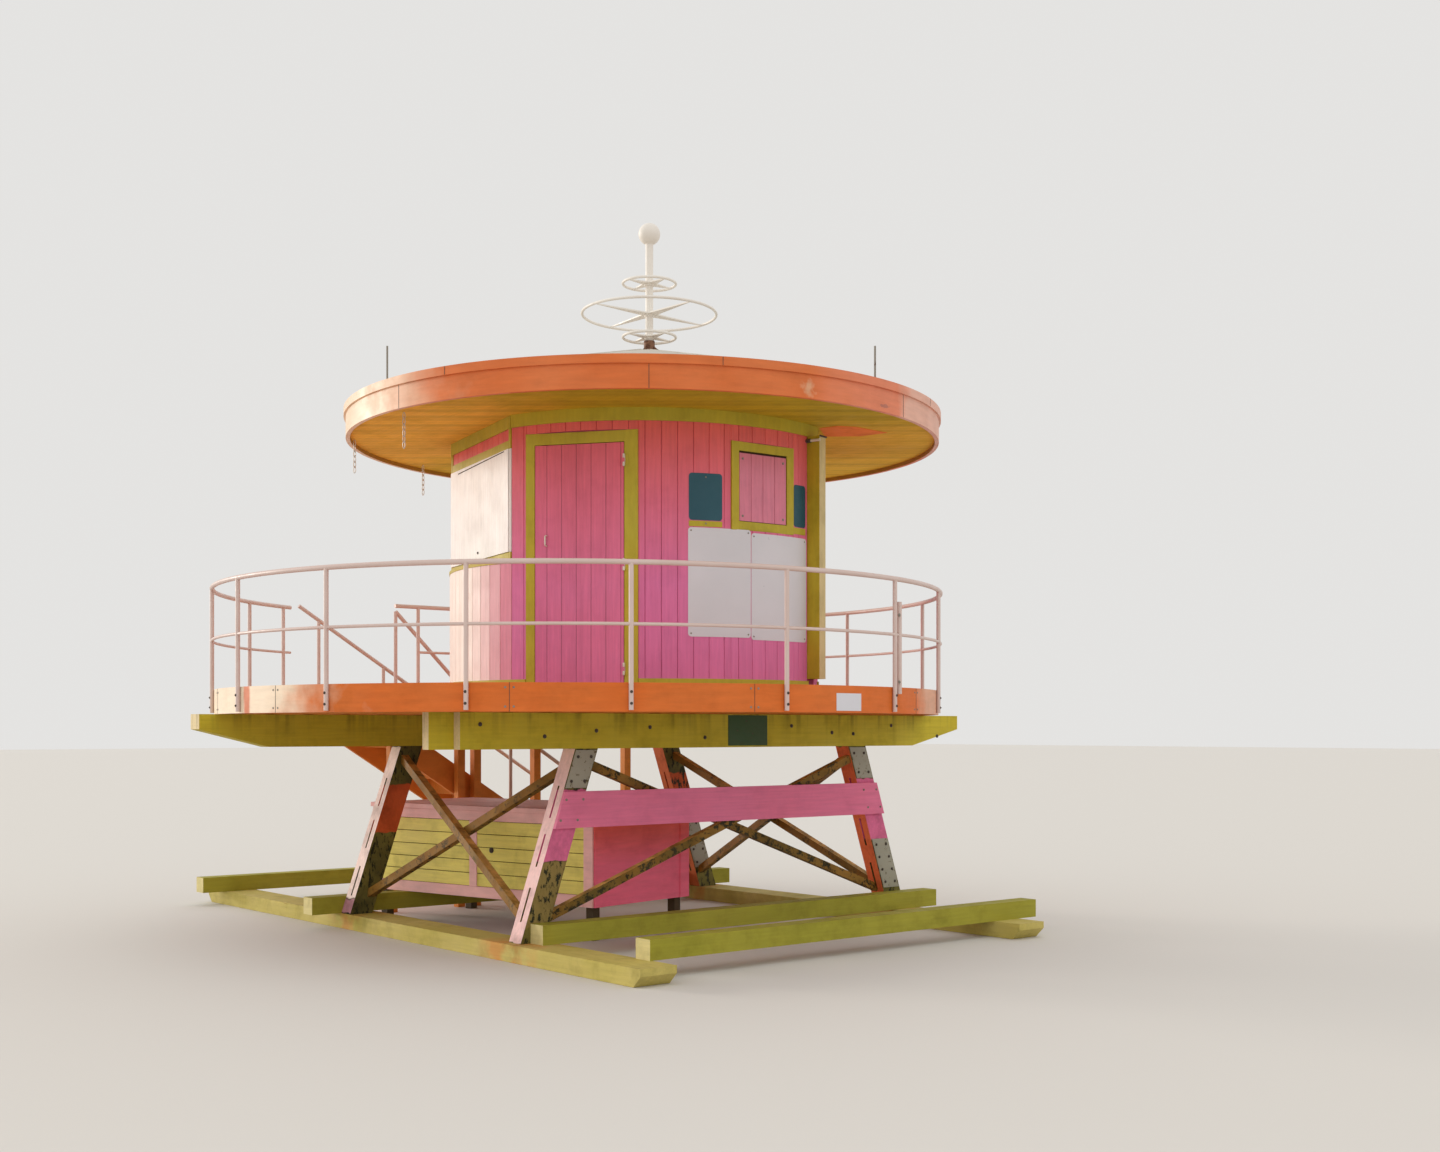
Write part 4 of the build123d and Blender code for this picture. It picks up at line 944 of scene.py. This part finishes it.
# ---------------------------------------------------------------- roof and mast
def chain(name, top, length, material):
    """Long oval links, each turned a quarter from the one above: across by cosine, up by sine."""
    pitch, half, wide = 0.052, 0.034, 0.014
    count = int(length / pitch)
    t = round_turns(16)
    up = half * np.sin(t)
    side = wide * np.cos(t)
    number = np.arange(count)[:, None]
    turn = number % 2 * math.pi / 2 + 0.3
    path = np.stack(
        (top[0] + side * np.cos(turn), top[1] + side * np.sin(turn), top[2] - half - number * pitch + up), axis=-1
    )
    return tube(name, path, 0.004, material, 6, closed=True)


chain("chain_far_left", (-2.040, 0.515, SOFFIT), 0.35, hinge_pale)
chain("chain_left", (-2.361, -1.059, SOFFIT), 0.34, hinge_pale)
chain("chain_far", (-0.758, 1.426, SOFFIT), 0.36, hinge_pale)

for name, turn, high in (("rim_rod_left", 180.7, 5.415), ("rim_rod_right", 277.2, 5.395)):
    tube(name, roof_place(math.radians(turn), 2.91, np.array((5.100, 5.25, high)))[None], 0.009, zinc, 8)
roof_seams = np.radians(np.arange(-126.6, 200.0, 52.0))
upright_strips("roof_edge_seams_lower", roof_seams, ROOF_EDGE, 4.822, 5.024, 0.0025, roof_place)
upright_strips("roof_edge_seams_upper", roof_seams + 0.21, ROOF_TRIM, 5.029, 5.100, 0.0025, roof_place)

# Battens over the joints of the roof sheets: a low trapezium carried straight down the cone
batten_turns = np.radians(np.arange(12) * 30.0 + 10.0)[:, None, None]
batten_reach = np.array((0.21, 2.89))[:, None]
batten_across = np.array((-0.018, -0.014, 0.014, 0.018))
batten_lift = np.array((-0.002, 0.006, 0.006, -0.002))
cone_level = np.interp(batten_reach, (0.20, 2.90), (ROOF_FOOT, 5.103))
loft(
    "roof_battens",
    roof_place(batten_turns + batten_across / batten_reach, batten_reach, cone_level + batten_lift), roofing,
)

# Lamp bracket at the head of the corner post: a pale conduit, a dark socket and a clamp
post_head = flat_wall(-73.75, 0.0)
for name, across, out, level, radius, material in (
    ("lamp_conduit", (-0.070, -0.070), (1.985, 2.085), 4.702, 0.013, hinge_pale),
    ("lamp_socket", (-0.074, -0.074), (1.925, 1.985), 4.700, 0.019, dark_bolt),
    ("lamp_clamp", (-0.062, 0.056), (2.079, 2.079), 4.742, 0.008, dark_bolt),
):
    path = post_head(np.linspace(*across, 3), np.linspace(*out, 3), level)
    tube(name, path[None], radius, material, 12)

# A thin plate under the soffit beside the corner post, where the soffit shows a strip of bright orange
patch = np.array(((1.05, -2.90), (1.10, -3.09), (1.27, -3.17), (1.71, -3.15), (1.64, -2.85), (1.39, -2.62)))
patch_rings = np.stack([np.column_stack((patch, np.full(6, z))) for z in (SOFFIT - 0.004, SOFFIT + 0.002)])
loft("soffit_patch", patch_rings[None], soffit_orange)


def turned_collars(name, levels, radius, height, material):
    """Turned collars round the pole: radius against height, carried round the mast."""
    reach = radius * np.array((0.72, 0.96, 1.0, 1.0, 0.96, 0.72))[:, None]
    lift = height * np.array((-0.5, -0.5, -0.4, 0.4, 0.5, 0.5))[:, None]
    rings = mast_place(round_turns(24), reach, np.array(levels)[:, None, None] + lift)
    return loft(name, rings, material, round_below=30.0)


turned_collars("mast_collars", (5.95, 6.18, 6.49), 0.052, 0.05, mast_enamel)
turned_collars("mast_clamp", (5.865,), 0.056, 0.09, rusty_steel)

# Four struts from the mast down to the bolts at its foot
foot_turns = np.radians((20.0, 110.0, 200.0, 290.0))
share = np.linspace(0.0, 1.0, 6)
strut_paths = mast_place(foot_turns[:, None], 0.045 + 0.058 * share**1.4, 5.86 - 0.055 * share)
tube("mast_foot_struts", strut_paths, 0.010, rusty_steel, 8)
foot_bolts = mast_place(foot_turns, 0.1, ROOF_FOOT + 0.020)
bolt_heads("mast_foot_bolts", foot_bolts, (0.0, 0.0, 1.0), 0.014, 0.016, dark_bolt)

# ---------------------------------------------------------------- camera, floor and light
# In a frame 1440 pixels wide: a focal length of 1620 pixels, and the horizon 153 pixels below the middle
camera_data = bpy.data.cameras.new("camera")
camera_data.sensor_width = 36.0
camera_data.lens = 40.5
camera_data.shift_y = 0.10625
camera_data.clip_end = 500.0
camera = placed("camera", camera_data)
camera.location = (-9.557, -14.096, 2.0)
camera.rotation_euler = (math.radians(90.0), 0.0, -0.697)
bpy.context.scene.camera = camera

floor_mesh = bpy.data.meshes.new("floor")
floor_corners = [(150 * x, 150 * y, -0.002) for x, y in ((-1, -1), (1, -1), (1, 1), (-1, 1))]
floor_mesh.from_pydata(floor_corners, [], [(0, 1, 2, 3)])
floor = placed("floor", floor_mesh)
floor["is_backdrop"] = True
floor_material, _, floor_shader = blank("matt_pale_studio_floor", 0.9)
floor_shader.inputs["Base Color"].default_value = linear("#D3CFC9")
floor_mesh.materials.append(floor_material)

world = bpy.data.worlds.new("studio")
bpy.context.scene.world = world
world.use_nodes = True
tree = world.node_tree
light_path = tree.nodes.new("ShaderNodeLightPath").outputs
seen = add(tree, "Math", light_path["Is Camera Ray"], light_path["Is Glossy Ray"], operation="MAXIMUM")
seen = add(tree, "Math", seen, light_path["Is Transmission Ray"], operation="MAXIMUM")
backdrop = tree.nodes["Background"]
# Strength 1.12 lights the object, and 0.86 is what the camera, gloss and glass see
tree.links.new(add(tree, "MapRange", seen, 0.0, 1.0, 1.12, 0.86), backdrop.inputs["Strength"])
backdrop.inputs["Color"].default_value = linear("#F4F3F1")

# The key comes low from the left and a little behind, as the sunlit sides show
key_turn, key_height = math.radians(115.0), math.radians(10.0)
sun_data = bpy.data.lights.new("key", "SUN")
sun_data.energy = 1.5
sun_data.angle = math.radians(12.0)
sun_data.color = (1.0, 0.93, 0.84)
sun = placed("key", sun_data)
sun.rotation_euler = (math.pi / 2 - key_height, 0.0, key_turn + math.pi / 2)

bpy.context.scene.view_settings.view_transform = "Standard"

low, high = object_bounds()
